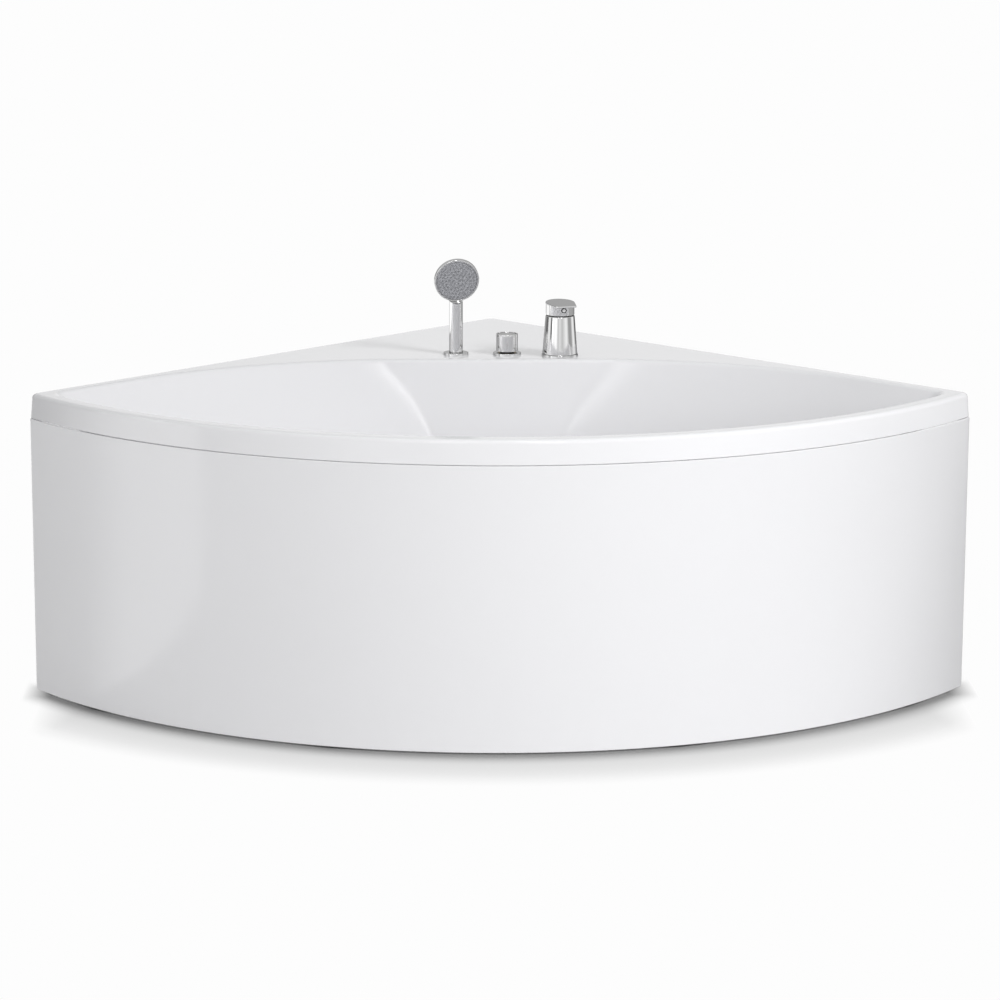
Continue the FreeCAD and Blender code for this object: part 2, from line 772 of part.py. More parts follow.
# ---- overflow with filler -----------------------------------------------------------------
back_face = -shell_wall - gasket_thickness
cup_inner = overflow_body_radius - 3.0
overflow_body = fused(
    cylinder(overflow_body_radius, overflow_body_depth, 0, 0, back_face - overflow_body_depth).cut(
        cylinder(cup_inner, overflow_body_depth - 6.0, 0, 0, back_face - overflow_body_depth + 3.0)
    ),
    cylinder(overflow_neck_radius, 2.0 - back_face, 0, 0, back_face),
).cut(cylinder(overflow_neck_radius - 3.0, 2.0 - back_face + 5.0, 0, 0, back_face - 4.0))
overflow_body = on_overflow(overflow_body).cut(pipe_filled)
keep("overflow_gasket", on_overflow(
    ring(overflow_body_radius - 1.0, neck_hole, gasket_thickness + 1.0, 0, 0, back_face)
).cut(shell))
plate = cylinder(overflow_plate_radius, overflow_plate_thickness, 0, 0, 0).cut(
    cylinder(overflow_neck_radius, 2.0, 0, 0, 0)
)
spindle = 6.0
plate = plate.cut(cylinder(spindle + running, 20, 0, 0, -5))
for i in range(10):
    hx, hy = on_circle(0, 0, 15.0, 36 * i)
    plate = plate.cut(cylinder(3.2, 20, hx, hy, -5))
keep("overflow_plate", on_overflow(plate).cut(shell))
knob_low = overflow_plate_thickness + 0.6
drum_low = back_face - overflow_body_depth + 3.0 + 1.0
overflow_knob = fused(
    cylinder(overflow_knob_radius, overflow_knob_height - 2.0, 0, 0, knob_low),
    cone(overflow_knob_radius, overflow_knob_radius - 3.0, 2.0, 0, 0,
         knob_low + overflow_knob_height - 2.0),
    cylinder(spindle, knob_low - drum_low, 0, 0, drum_low),
    cylinder(12.0, 6.0, 0, 0, drum_low),
)
for i in range(12):
    gx, gy = on_circle(0, 0, overflow_knob_radius + 2.0, 30 * i)
    overflow_knob = overflow_knob.cut(cylinder(3.0, 40, gx, gy, knob_low - 1))
keep("overflow_knob", on_overflow(overflow_knob))

cable_top = V(cable_side, pipe_top.y, pipe_top.z + 10.0)
cable_route = [
    cable_top,
    V(cable_side, pipe_top.y, cable_level),
    V(cable_side, drain_y - 21.0, cable_level),
]
cable = pipe_along(cable_route, cable_radius, 45.0)
keep("bowden_cable", cable)
parts["drain_body"] = parts["drain_body"].cut(cable)
overflow_body = overflow_body.cut(cable)

hose_end_z = overflow_seat.z + (overflow_axis * overflow_mid).z
hose_route = [
    V(diverter_x, fittings_y, deck - diverter_depth),
    V(diverter_x, fittings_y, hose_level),
    V(hose_side, fittings_y - hose_lead, hose_level),
    V(hose_side, pipe_top.y, hose_level),
    V(hose_side, pipe_top.y, hose_end_z),
    V(overflow_body_radius - 3.5, pipe_top.y, hose_end_z),
]
fill_hose = pipe_along(hose_route, hose_radius, hose_bend, hose_bore)
overflow_body = overflow_body.cut(pipe_along(hose_route, hose_radius, hose_bend))
keep("fill_hose", fill_hose)
keep("overflow_body", overflow_body)

# ---- deck nuts and washers, the same under all three --------------------------------------
nuts = []
washers = []
washer_low = rim_under - washer_thickness
nut_low = washer_low - deck_nut_height
for x, y in fittings:
    washers.append(ring(washer_radius, shank_radius, washer_thickness, x, y, washer_low))
    nut = hexagon(deck_nut_flats, deck_nut_height, x, y, nut_low)
    nuts.append(nut.cut(cylinder(shank_radius, deck_nut_height, x, y, nut_low)))
keep("deck_nuts", *nuts)
keep("deck_washers", *washers)


def rosette(radius, bore, x):
    disc = fused(
        cylinder(radius, rosette_thickness - 1.0, x, fittings_y, deck),
        cone(radius, radius - 1.0, 1.0, x, fittings_y, deck + rosette_thickness - 1.0),
    )
    return disc.cut(cylinder(bore, rosette_thickness, x, fittings_y, deck))


# ---- hand shower and its holder -----------------------------------------------------------
sleeve_bore = handle_radius + fit
sleeve_low = deck - sleeve_depth
ledge_top = deck - handle_depth - fit
sleeve = fused(
    cylinder(shank_radius, sleeve_depth, holder_x, fittings_y, sleeve_low)
).cut(
    cylinder(sleeve_bore, sleeve_depth, holder_x, fittings_y, ledge_top)
).cut(
    cylinder(sleeve_ledge, sleeve_depth, holder_x, fittings_y, sleeve_low)
)
keep("holder_sleeve", sleeve)
keep("holder_rosette", rosette(holder_rosette_radius, sleeve_bore, holder_x))

handle_low = deck - handle_depth
nut_top = handle_low - fit
keep("hose_nut", fused(
    cylinder(hose_nut_radius, hose_nut_length * 0.6, 0, 0, -hose_nut_length * 0.6),
    cone(hose_radius + 1.0, hose_nut_radius, hose_nut_length * 0.4, 0, 0, -hose_nut_length),
).cut(cylinder(hose_spigot_radius + running, 16.0, 0, 0, -16.0 + 0.001)).cut(
    cylinder(hose_bore, hose_nut_length, 0, 0, -hose_nut_length)
))
parts["hose_nut"] = moved(parts["hose_nut"], holder_x, fittings_y, nut_top)


def in_hand(shape):
    """Turn a piece of the handset, drawn facing -Y about the handle's axis, into place."""
    return moved(turned(shape, handset_yaw), holder_x, fittings_y, deck)


def facing(shape):
    """Lay a piece drawn about +Z onto the spray face's axis, which looks forward and down."""
    laid = turned(shape, 90.0 + head_tilt, ORIGIN, V(1, 0, 0))
    return moved(laid, 0, -head_front, head_height)


rim_back = -head_rim
head = Part.makeSphere(
    (head_radius ** 2 + head_dome ** 2) / (2 * head_dome), ORIGIN, UP
)
dome_radius = (head_radius ** 2 + head_dome ** 2) / (2 * head_dome)
dome = Part.makeSphere(dome_radius, V(0, 0, rim_back - head_dome + dome_radius), UP).common(
    cylinder(head_radius, head_dome + 1.0, 0, 0, rim_back - head_dome - 1.0)
)
head = dome.fuse(cylinder(head_radius, head_rim, 0, 0, rim_back)).removeSplitter()
head_edge = [e for e in head.Edges if abs(e.BoundBox.ZMax) < 0.01 and e.BoundBox.ZMin > -0.01]
head = head.makeFillet(1.5, head_edge)
head = head.cut(cylinder(face_radius, face_recess + face_thickness, 0, 0,
                         -face_recess - face_thickness))
head = head.cut(cylinder(face_radius - 6.0, 3.0, 0, 0, -face_recess - face_thickness - 3.0))
head_placed = facing(head)
handle_full = cylinder(handle_radius, handle_depth + head_height, 0, 0, -handle_depth)
stub = cylinder(hose_spigot_radius, 14.0 + fit, 0, 0, -handle_depth - 14.0 - fit)
bore = cylinder(hose_bore, handle_depth + head_height, 0, 0, -handle_depth - 20.0)
handle = fused(handle_full, stub).cut(bore).cut(facing(Part.makeCompound([
    cylinder(head_radius, head_rim + 60.0, 0, 0, -head_rim), dome
])))
handle = sorted(handle.Solids, key=lambda s: s.Volume)[-1]
keep("handset_handle", in_hand(handle))
keep("handset_head", in_hand(head_placed))
spray_face = cylinder(face_radius, face_thickness, 0, 0, -face_recess - face_thickness)
keep("handset_face", in_hand(facing(spray_face)))
nozzles = []
for ring_index in range(1, nozzle_rings + 1):
    count = 6 * ring_index
    for i in range(count):
        nx, ny = on_circle(0, 0, ring_index * nozzle_ring_step, 360.0 * i / count)
        nozzles.append(in_hand(facing(
            cylinder(nozzle_radius, nozzle_height, nx, ny, -face_recess)
        )))
keep("handset_nozzles", *nozzles)

# ---- diverter -----------------------------------------------------------------------------
keep("diverter_rosette", rosette(diverter_rosette_radius, shank_radius, diverter_x))
valve_low = deck - diverter_depth
valve = cylinder(shank_radius, diverter_depth + rosette_thickness, diverter_x, fittings_y, valve_low)
valve = valve.cut(cylinder(shank_bore - 1.0, diverter_depth - 18.0, diverter_x, fittings_y,
                           valve_low + 6.0))
link_level = deck - mixer_shank_length - manifold_height / 2.0
collar_x = diverter_x - shank_radius - collar_depth
collar = Part.makeCylinder(
    inlet_radius + 3.5, shank_radius, V(collar_x, fittings_y, link_level), V(1, 0, 0)
)
nipple = Part.makeCylinder(
    inlet_radius, nipple_length + 1.0, V(collar_x - nipple_length, fittings_y, link_level),
    V(1, 0, 0)
)
valve = fused(valve, collar, nipple).cut(Part.makeCylinder(
    6.0, nipple_length + collar_depth + 15.0, V(collar_x - nipple_length - 1.0, fittings_y,
                                                link_level), V(1, 0, 0)
)).cut(cylinder(spindle_radius + running, 60, diverter_x, fittings_y, deck - 30)).cut(
    cylinder(hose_bore, 20, diverter_x, fittings_y, valve_low - 5)
)
knob_base = deck + rosette_thickness + knob_gap
knob_bottom = knob_base
knob_shape = cylinder(knob_radius, knob_height - rosette_thickness - knob_gap, diverter_x,
                      fittings_y, knob_bottom)
knob_top = deck + knob_height
round_edges = [e for e in knob_shape.Edges if e.BoundBox.ZMin > knob_top - 0.01]
knob_shape = knob_shape.makeFillet(knob_round, round_edges)
knob_shape = knob_shape.cut(cylinder(knob_radius - 3.0, 1.2, diverter_x, fittings_y,
                                     knob_top - 1.2))
knob_shape = fused(knob_shape, cylinder(knob_neck_radius, knob_gap - fit, diverter_x, fittings_y,
                                        deck + rosette_thickness + fit))
knob_shape = knob_shape.cut(cylinder(spindle_radius, 16.0, diverter_x, fittings_y,
                                     deck + rosette_thickness))
keep("diverter_knob", knob_shape)
spindle_low = deck - 50.0
keep("diverter_spindle", fused(
    cylinder(spindle_radius, deck + rosette_thickness + 16.0 - spindle_low, diverter_x,
             fittings_y, spindle_low),
    cylinder(shank_bore - 1.0 - fit, 8.0, diverter_x, fittings_y, spindle_low),
))

# ---- mixer --------------------------------------------------------------------------------
def at_mixer(shape):
    return moved(shape, mixer_x, mixer_y, deck)


keep("mixer_base_ring", at_mixer(
    ring(mixer_base_radius, shank_radius, mixer_base_height).cut(
        ring(mixer_base_radius + 1, mixer_base_radius - 1.0, 1.0, 0, 0, mixer_base_height - 1.0)
    )
))
mixer_body = fused(
    cone(mixer_foot_radius, mixer_neck_radius, mixer_neck_height - mixer_base_height,
         0, 0, mixer_base_height),
    cylinder(shank_radius, mixer_shank_length + mixer_base_height + 1.0, 0, 0,
             -mixer_shank_length),
)
mixer_body = mixer_body.cut(
    cylinder(cartridge_radius, cartridge_high - cartridge_low, 0, 0, cartridge_low)
).cut(
    cylinder(neck_opening, 60, 0, 0, cartridge_high - 5.0)
).cut(
    cylinder(shank_bore - 3.0, cartridge_low + mixer_shank_length, 0, 0, -mixer_shank_length)
)
keep("mixer_body", at_mixer(mixer_body))
carrier_hole = carrier_spindle_radius + running
keep("mixer_cartridge", at_mixer(
    cylinder(cartridge_radius, cartridge_high - cartridge_low, 0, 0, cartridge_low).cut(
        cylinder(carrier_hole, carrier_spindle_length + 1.0, 0, 0,
                 cartridge_high - carrier_spindle_length - 1.0)
    )
))


def at_lever(shape):
    return at_mixer(turned(shape, lever_yaw))


disc_low = cartridge_high + fit
disc_top = disc_low + carrier_thickness
half_stem = stem_width / 2.0
lug_inner = half_stem + lug_gap
lug_outer = lug_inner + lug_thickness
lug_hole = pivot_pin_radius + pin_clearance
pivot = lever_pivot_height


def across(radius, half_length):
    """A round bar along the lever's hinge."""
    return Part.makeCylinder(radius, 2 * half_length, V(-half_length, 0, pivot), V(1, 0, 0))


carrier = fused(
    cylinder(carrier_spindle_radius, carrier_spindle_length + fit + 1.0, 0, 0,
             cartridge_high - carrier_spindle_length),
    cylinder(carrier_radius, carrier_thickness, 0, 0, disc_low),
    block(lug_inner, lug_outer, -4.0, 4.0, disc_top - 1.0, pivot),
    block(-lug_outer, -lug_inner, -4.0, 4.0, disc_top - 1.0, pivot),
    across(4.0, lug_outer).cut(across(6.0, lug_inner)),
).cut(across(lug_hole, 20.0))
keep("mixer_carrier", at_lever(carrier))
keep("mixer_pin", at_lever(across(pivot_pin_radius, lug_outer)))

skirt_low = mixer_neck_height + mixer_joint_gap
lever_top = skirt_low + lever_height
cap_foot_radius = mixer_neck_radius - 0.5
plate_radius = lever_top_radius + 0.8


def on_slope(shape, drop=0.0):
    """Tilt a piece drawn on the lever's plate, whose top is at 0, into its sloping plane."""
    return moved(turned(shape, lever_slope, ORIGIN, V(1, 0, 0)), 0, 0, lever_top - drop)


cap = cone(cap_foot_radius, lever_top_radius, lever_height + 4.0, 0, 0, skirt_low)
cap = cap.cut(on_slope(block(-80, 80, -80, 80, 0, 60), lever_plate - 1.0))
cap_hollow = cylinder(lever_top_radius - lever_wall, lever_height - lever_plate - 4.5, 0, 0,
                      skirt_low)
tip_distance = math.hypot(lever_tip_half, lever_reach)
side_start = math.degrees(
    math.acos(plate_radius / tip_distance) - math.atan2(lever_reach, lever_tip_half)
)
flank_x, flank_y = on_circle(0, 0, plate_radius, side_start)
blade = Part.Face(Part.Wire([
    arc_edge(0, 0, plate_radius, side_start, 180.0 - side_start, 0),
    line_edge((-flank_x, flank_y), (-lever_tip_half, -lever_reach), 0),
    line_edge((-lever_tip_half, -lever_reach), (lever_tip_half, -lever_reach), 0),
    line_edge((lever_tip_half, -lever_reach), (flank_x, flank_y), 0),
])).extrude(V(0, 0, -lever_plate))
blade_corners = [
    e for e in blade.Edges
    if e.BoundBox.YMax < -lever_reach + 0.01 and e.BoundBox.ZLength > lever_plate - 0.01
]
blade = on_slope(blade.makeFillet(4.0, blade_corners))
stem_bar = fused(
    block(-half_stem, half_stem, -4.0, 4.0, pivot, lever_top - lever_plate - 2.0),
    across(4.0, half_stem),
)
relief = block(-60, 60, -60, 60, -60, 0)
relief = moved(turned(relief, lever_relief, ORIGIN, V(1, 0, 0)), 0, 0, skirt_low)
relief = relief.common(block(-60, 60, 0, 60, pivot + 4.0, lever_top))
lever = fused(cap.cut(cap_hollow).cut(relief), blade, stem_bar).cut(
    across(pivot_pin_radius, half_stem)
)
keep("mixer_lever", at_lever(lever))

manifold_top = -mixer_shank_length
manifold = block(-manifold_length / 2, manifold_length / 2, -manifold_width / 2,
                 manifold_width / 2, manifold_top - manifold_height, manifold_top)
for sign in (-1, 1):
    manifold = manifold.fuse(cylinder(
        inlet_radius, inlet_length + 2.0, sign * inlet_spacing / 2, 0,
        manifold_top - manifold_height - inlet_length,
    ))
    manifold = manifold.cut(cylinder(
        6.5, inlet_length + 16.0, sign * inlet_spacing / 2, 0,
        manifold_top - manifold_height - inlet_length,
    ))
keep("mixer_manifold", at_mixer(manifold.removeSplitter()))
link_start = diverter_x + shank_radius - 5.0
link_end = mixer_x - manifold_length / 2.0
link_foot = V(link_start, (fittings_y + mixer_y) / 2.0, link_level)
link_filled = Part.makeCylinder(link_pipe_radius, link_end - link_start, link_foot, V(1, 0, 0))
keep("link_pipe", link_filled.cut(
    Part.makeCylinder(link_pipe_bore, link_end - link_start, link_foot, V(1, 0, 0))
))
keep("diverter_body", valve.cut(link_filled))

# ---- write the pieces ---------------------------------------------------------------------
os.makedirs("parts", exist_ok=True)
for name, shape in parts.items():
    shape.exportStep("parts/" + name + ".step")
    box = shape.BoundBox
    print(name, len(shape.Solids), shape.isValid(), round(shape.Volume / 1000.0, 1), "cm3",
          [round(v) for v in (box.XMin, box.XMax, box.YMin, box.YMax, box.ZMin, box.ZMax)])
print(len(parts), "nodes")
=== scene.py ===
# %% [markdown]
# # A corner bathtub, dressed
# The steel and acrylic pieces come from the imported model, which stays fixed. This lesson gives the
# pieces that show their full shape and finish: the acrylic shell, the apron and the chrome taps.
# Lengths are metres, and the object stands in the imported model's own frame.

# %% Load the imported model
import json
import math

import bpy
import numpy as np
from mathutils import Matrix, Vector


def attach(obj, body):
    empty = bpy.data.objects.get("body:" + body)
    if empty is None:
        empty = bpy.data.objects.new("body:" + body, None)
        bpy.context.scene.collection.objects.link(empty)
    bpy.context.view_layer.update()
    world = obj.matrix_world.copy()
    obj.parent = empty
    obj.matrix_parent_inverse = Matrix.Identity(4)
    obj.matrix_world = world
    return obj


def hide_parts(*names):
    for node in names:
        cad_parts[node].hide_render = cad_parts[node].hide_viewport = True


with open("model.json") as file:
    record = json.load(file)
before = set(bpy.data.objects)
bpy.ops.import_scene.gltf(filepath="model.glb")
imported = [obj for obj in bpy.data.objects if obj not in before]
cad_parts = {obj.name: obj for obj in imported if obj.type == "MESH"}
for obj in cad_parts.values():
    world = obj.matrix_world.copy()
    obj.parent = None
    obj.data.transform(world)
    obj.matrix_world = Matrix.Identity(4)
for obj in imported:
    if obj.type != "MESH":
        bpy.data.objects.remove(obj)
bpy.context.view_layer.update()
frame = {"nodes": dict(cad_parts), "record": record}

# %% [markdown]
# The photograph was taken from about seven and a half metres away with a long lens, a little left of
# the middle and looking down twelve degrees. The numbers below come from fitting the tub's outline.

# %% Camera
FOCAL_PX, FRAME_PX, SENSOR_MM = 3659.6, 1000, 36.0
EYE = Vector((-0.1832, -7.6161, 1.9799))
YAW, PITCH, ROLL = math.radians(1.405), math.radians(12.064), math.radians(0.179)

forward = Vector((
    math.sin(YAW) * math.cos(PITCH), math.cos(YAW) * math.cos(PITCH), -math.sin(PITCH)
))
level = Vector((math.cos(YAW), -math.sin(YAW), 0))
upward = level.cross(forward)
right = math.cos(ROLL) * level + math.sin(ROLL) * upward
upward = -math.sin(ROLL) * level + math.cos(ROLL) * upward
bpy.ops.object.camera_add(location=EYE)
camera = bpy.context.object
camera.name = "studio_camera"
camera.data.sensor_width = SENSOR_MM
camera.data.lens = FOCAL_PX * SENSOR_MM / FRAME_PX
camera.matrix_world = Matrix((
    (right.x, upward.x, -forward.x, EYE.x),
    (right.y, upward.y, -forward.y, EYE.y),
    (right.z, upward.z, -forward.z, EYE.z),
    (0, 0, 0, 1),
))
bpy.context.scene.camera = camera
print("lens", round(camera.data.lens, 1), "mm")

# %% [markdown]
# A finish is a small tree of nodes. One function turns a written colour into the linear numbers that
# Blender mixes with, and one adds a node with its settings and links, so that each finish below
# reads as a list of what it is made of.

# %% Colours and nodes
def linear(hex_code):
    """An sRGB hex colour as linear red, green, blue, alpha."""
    values = [int(hex_code[i:i + 2], 16) / 255.0 for i in (1, 3, 5)]
    return [v / 12.92 if v <= 0.04045 else ((v + 0.055) / 1.055) ** 2.4 for v in values] + [1.0]


def add(tree, kind, *first, settings=None, **named):
    """Add a node. Settings are its own fields. Its first sockets are given in order and others by
    name, each with a value or another node's output."""
    node = tree.nodes.new(kind)
    for field, value in (settings or {}).items():
        setattr(node, field, value)
    pairs = list(zip(node.inputs, first))
    pairs += [(node.inputs[name.replace("_", " ")], value) for name, value in named.items()]
    for socket, value in pairs:
        if isinstance(value, bpy.types.NodeSocket):
            tree.links.new(value, socket)
        else:
            socket.default_value = value
    return node


def new_finish(name, **shader):
    """A material with one Principled shader, whose constants sit on the shader's own sockets."""
    finish = bpy.data.materials.new(name)
    finish.use_nodes = True
    tree = finish.node_tree
    tree.nodes.clear()
    bsdf = add(tree, "ShaderNodeBsdfPrincipled", **shader)
    add(tree, "ShaderNodeOutputMaterial", bsdf.outputs["BSDF"])
    return finish, tree, bsdf


def object_noise(tree, scale, detail=2.0):
    """Noise that sticks to the object; scale is in waves per metre."""
    here = add(tree, "ShaderNodeTexCoord")
    return add(tree, "ShaderNodeTexNoise", here.outputs["Object"], Scale=scale, Detail=detail)


print("white", [round(v, 3) for v in linear("#FFFFFF")], "mid grey", round(linear("#808080")[0], 3))


# %% [markdown]
# **Sanitary acrylic.** The shell and the apron are cast acrylic sheet drawn over a mould: white,
# even, with a clear gloss. Its index is 1.49. A drawn sheet is never quite flat, so a faint bump,
# waves of about 120 mm, makes the reflections swim a little as they do on the real one.

# %% Finish: white acrylic
ACRYLIC_WHITE, ACRYLIC_IOR = "#F0F0F2", 1.49
WAVES_PER_METRE, WAVE_DEPTH = 8.0, 0.002


def acrylic_finish(name, roughness, wave):
    """Glossy white sheet; wave is how much of the full depth its waves have."""
    finish, tree, bsdf = new_finish(
        name, Base_Color=linear(ACRYLIC_WHITE), Roughness=roughness, IOR=ACRYLIC_IOR
    )
    waves = object_noise(tree, WAVES_PER_METRE, 1.0)
    bump = add(tree, "ShaderNodeBump", Height=waves.outputs["Fac"], Strength=wave,
               Distance=WAVE_DEPTH)
    tree.links.new(bump.outputs["Normal"], bsdf.inputs["Normal"])
    return finish


SHELL_ACRYLIC = acrylic_finish("drawn_acrylic_shell", roughness=0.16, wave=0.12)
APRON_ACRYLIC = acrylic_finish("drawn_acrylic_apron", roughness=0.14, wave=0.15)
print("acrylic waves about", round(1000 / WAVES_PER_METRE), "mm long")

# %% [markdown]
# **Chrome.** The taps are brass castings, polished and chrome plated. Chrome is a neutral metal,
# whose mirror dims a little towards its edges, and the tint of its specular does that. Fine smears
# of wiping vary the roughness between 0.03 and 0.08.

# %% Finish: polished chrome
CHROME_GREY, CHROME_EDGE = "#EEEEEE", "#B4B4B4"
SMEARS_PER_METRE = 60.0


def chrome_finish(name, low, high):
    """Polished metal whose roughness runs from low to high in smears."""
    finish, tree, bsdf = new_finish(name, Base_Color=linear(CHROME_GREY), Metallic=1.0,
                                    Specular_Tint=linear(CHROME_EDGE))
    smears = object_noise(tree, SMEARS_PER_METRE, 3.0)
    rough = add(tree, "ShaderNodeMapRange", smears.outputs["Fac"], To_Min=low, To_Max=high)
    tree.links.new(rough.outputs["Result"], bsdf.inputs["Roughness"])
    return finish


CHROME = chrome_finish("polished_chrome", low=0.03, high=0.08)
print("finishes of the parts that show:", SHELL_ACRYLIC.name, APRON_ACRYLIC.name, CHROME.name)

# %% [markdown]
# The hidden pieces have plainer finishes, each with the grain of its making: galvanised tube with
# its zinc flowers, plain brass, rubber, moulded nylon and pipe plastic, and particle board. Each is
# given as two close colours, grains per metre, roughness, how metallic it is, and the grain's depth.

# %% Finishes of the hidden pieces
def grained_finish(name, hex_low, hex_high, scale, roughness, metallic=0.0, bump_depth=0.0):
    """Two close colours mixed by noise, with a bump of a real depth in metres."""
    finish, tree, bsdf = new_finish(name, Metallic=metallic, Roughness=roughness)
    grain = object_noise(tree, scale, 4.0)
    ramp = add(tree, "ShaderNodeValToRGB", grain.outputs["Fac"])
    for stop, at, hex_code in zip(ramp.color_ramp.elements, (0.35, 0.65), (hex_low, hex_high)):
        stop.position, stop.color = at, linear(hex_code)
    tree.links.new(ramp.outputs["Color"], bsdf.inputs["Base Color"])
    if bump_depth:
        bump = add(tree, "ShaderNodeBump", Height=grain.outputs["Fac"], Strength=1.0,
                   Distance=bump_depth)
        tree.links.new(bump.outputs["Normal"], bsdf.inputs["Normal"])
    return finish


FINISHES = {
    "cradle_steel": grained_finish("galvanised_tube", "#8D9092", "#A3A6A8", 90, 0.42, 0.8, 0.00002),
    "magnet_steel": grained_finish("plain_steel", "#7E8083", "#8C8E91", 200, 0.35, 1.0),
    "pin_steel": grained_finish("ground_pin_steel", "#85878A", "#94969A", 300, 0.25, 1.0),
    # Rubber is the real finish of hidden rubber parts, and also painted shade on the diverter's neck and
    # in the mixer's joint ring.
    "rubber": grained_finish("moulded_rubber_and_painted_shade", "#1A1A1A", "#232323", 700, 0.75, 0.0, 0.00003),
    "foot_nylon": grained_finish("glass_filled_nylon", "#1E1F20", "#2A2B2C", 900, 0.55, 0.0, 0.00002),
    "brass": grained_finish("turned_brass", "#B08D45", "#C09D55", 150, 0.3, 1.0),
    "cartridge_plastic": grained_finish("moulded_acetal", "#D4D4D0", "#DEDEDA", 400, 0.45),
    "waste_plastic": grained_finish("white_pipe_plastic", "#DCDCDA", "#E4E4E2", 300, 0.38, 0.0, 0.00001),
    "chipboard": grained_finish("particle_board", "#A8895F", "#C9AE82", 260, 0.85, 0.0, 0.0002),
    "spray_plastic": grained_finish("moulded_spray_plate", "#86878B", "#AFB0B4", 300, 0.42, 0.0, 0.0004),
    "nozzle_silicone": grained_finish("soft_nozzle_silicone", "#7C7D81", "#86878B", 800, 0.6),
    "chrome": CHROME,
    "acrylic": SHELL_ACRYLIC,
    "apron_acrylic": APRON_ACRYLIC,
}

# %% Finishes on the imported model
slot_of = {part["node"]: part["material_slot"] for part in frame["record"]["subparts"]}
for node_name, node in frame["nodes"].items():
    node.data.materials.clear()
    node.data.materials.append(FINISHES[slot_of[node_name]])
print("finishes", len(FINISHES), "on", len(frame["nodes"]), "nodes")

# %% [markdown]
# ## Making pieces
# Most pieces here are either turned, like a knob, or wrapped, like the shell. A turned piece starts
# as a circle whose edge is extruded and scaled ring by ring up its profile, which is what an
# operator does by hand in edit mode. A wrapped piece starts as a flat grid whose rows are laid on
# outlines, one row for each outline, and whose seam is then welded.

# %% Helpers for turned and wrapped pieces
def only(obj):
    """Select one object and make it active."""
    bpy.ops.object.select_all(action="DESELECT")
    obj.select_set(True)
    bpy.context.view_layer.objects.active = obj


def finish_piece(obj, name, finish, body, replaces=(), smooth=35.0):
    """Name a piece, bake its place into its mesh, smooth it and tie it to its body."""
    only(obj)
    bpy.ops.object.transform_apply(location=True, rotation=True, scale=True)
    bpy.ops.object.shade_smooth_by_angle(angle=math.radians(smooth))
    obj.name = name
    obj.data.name = name
    obj.data.materials.clear()
    obj.data.materials.append(finish)
    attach(obj, body)
    if replaces:
        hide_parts(*replaces)
    box = obj.bound_box
    size = [max(c[i] for c in box) - min(c[i] for c in box) for i in range(3)]
    print(name, len(obj.data.vertices), "vertices,", [round(v * 1000, 1) for v in size], "mm")
    return obj


def turned_piece(profile, segments=96):
    """Rings of (radius, height) in metres, extruded from a circle. A radius of 0 closes the end."""
    bpy.ops.object.select_all(action="DESELECT")
    radius, height = profile[0]
    start = max(radius, 1e-5)
    bpy.ops.mesh.primitive_circle_add(vertices=segments, radius=start, location=(0, 0, 0))
    obj = bpy.context.object
    bpy.ops.object.mode_set(mode="EDIT")
    bpy.ops.mesh.select_all(action="SELECT")
    bpy.ops.transform.translate(value=(0, 0, height))
    here, level_now = start, height
    for radius, height in profile[1:]:
        bpy.ops.mesh.extrude_region_move(TRANSFORM_OT_translate={"value": (0, 0, height - level_now)})
        factor = max(radius, 1e-5) / here
        bpy.ops.transform.resize(value=(factor, factor, 1), center_override=(0, 0, height))
        here, level_now = max(radius, 1e-5), height
    bpy.ops.mesh.select_all(action="SELECT")
    bpy.ops.mesh.remove_doubles(threshold=2e-5)
    bpy.ops.mesh.normals_make_consistent(inside=False)
    bpy.ops.object.mode_set(mode="OBJECT")
    return obj


def wrapped_piece(rows):
    """A grid laid on rows of points. Each row is a closed outline with as many points."""
    count, length = len(rows), len(rows[0])
    bpy.ops.object.select_all(action="DESELECT")
    bpy.ops.mesh.primitive_grid_add(x_subdivisions=length, y_subdivisions=count - 1, size=1)
    obj = bpy.context.object
    points = np.array([np.vstack([row, row[:1]]) for row in rows], dtype=float)
    obj.data.vertices.foreach_set("co", points.reshape(-1))
    obj.data.update()
    bpy.ops.object.mode_set(mode="EDIT")
    bpy.ops.mesh.select_all(action="SELECT")
    bpy.ops.mesh.remove_doubles(threshold=1e-5)
    bpy.ops.mesh.normals_make_consistent(inside=False)
    bpy.ops.object.mode_set(mode="OBJECT")
    return obj


def close_ends(obj):
    """Fill the open ends of a wrapped piece."""
    only(obj)
    bpy.ops.object.mode_set(mode="EDIT")
    bpy.ops.mesh.select_all(action="DESELECT")
    bpy.ops.mesh.select_non_manifold()
    bpy.ops.mesh.edge_face_add()
    bpy.ops.mesh.select_all(action="SELECT")
    bpy.ops.mesh.normals_make_consistent(inside=False)
    bpy.ops.object.mode_set(mode="OBJECT")


# %% Helpers for places and rounded edges
def place(obj, x, y, z, turn=0.0):
    """Turn a piece about the upright axis and move it, in its mesh."""
    obj.data.transform(Matrix.Translation((x, y, z)) @ Matrix.Rotation(math.radians(turn), 4, "Z"))
    return obj


def fillet(cx, cz, radius, start, end, steps=6):
    """Points of a rounded edge in a profile, from start to end degrees about its centre."""
    turns = [math.radians(start + (end - start) * i / steps) for i in range(steps + 1)]
    return [(cx + radius * math.cos(turn), cz + radius * math.sin(turn)) for turn in turns]


print("a rounded edge has", len(fillet(0, 0, 0.01, 0, 90)), "points")

# %% [markdown]
# ## The shell
# The real shell is one drawn sheet: a rim with a turned-down edge, a deck, and a basin with a narrow
# back wall between two sloping back rests. Each level of the basin is one smooth outline: a front
# arc, two pointed ends, two back rests and the back wall between two soft creases. All outlines
# can be seen whole from the drain, so each row takes the same directions from there, and the rows
# run from the drain up the basin, over the rim and back underneath to the drain as one closed skin.

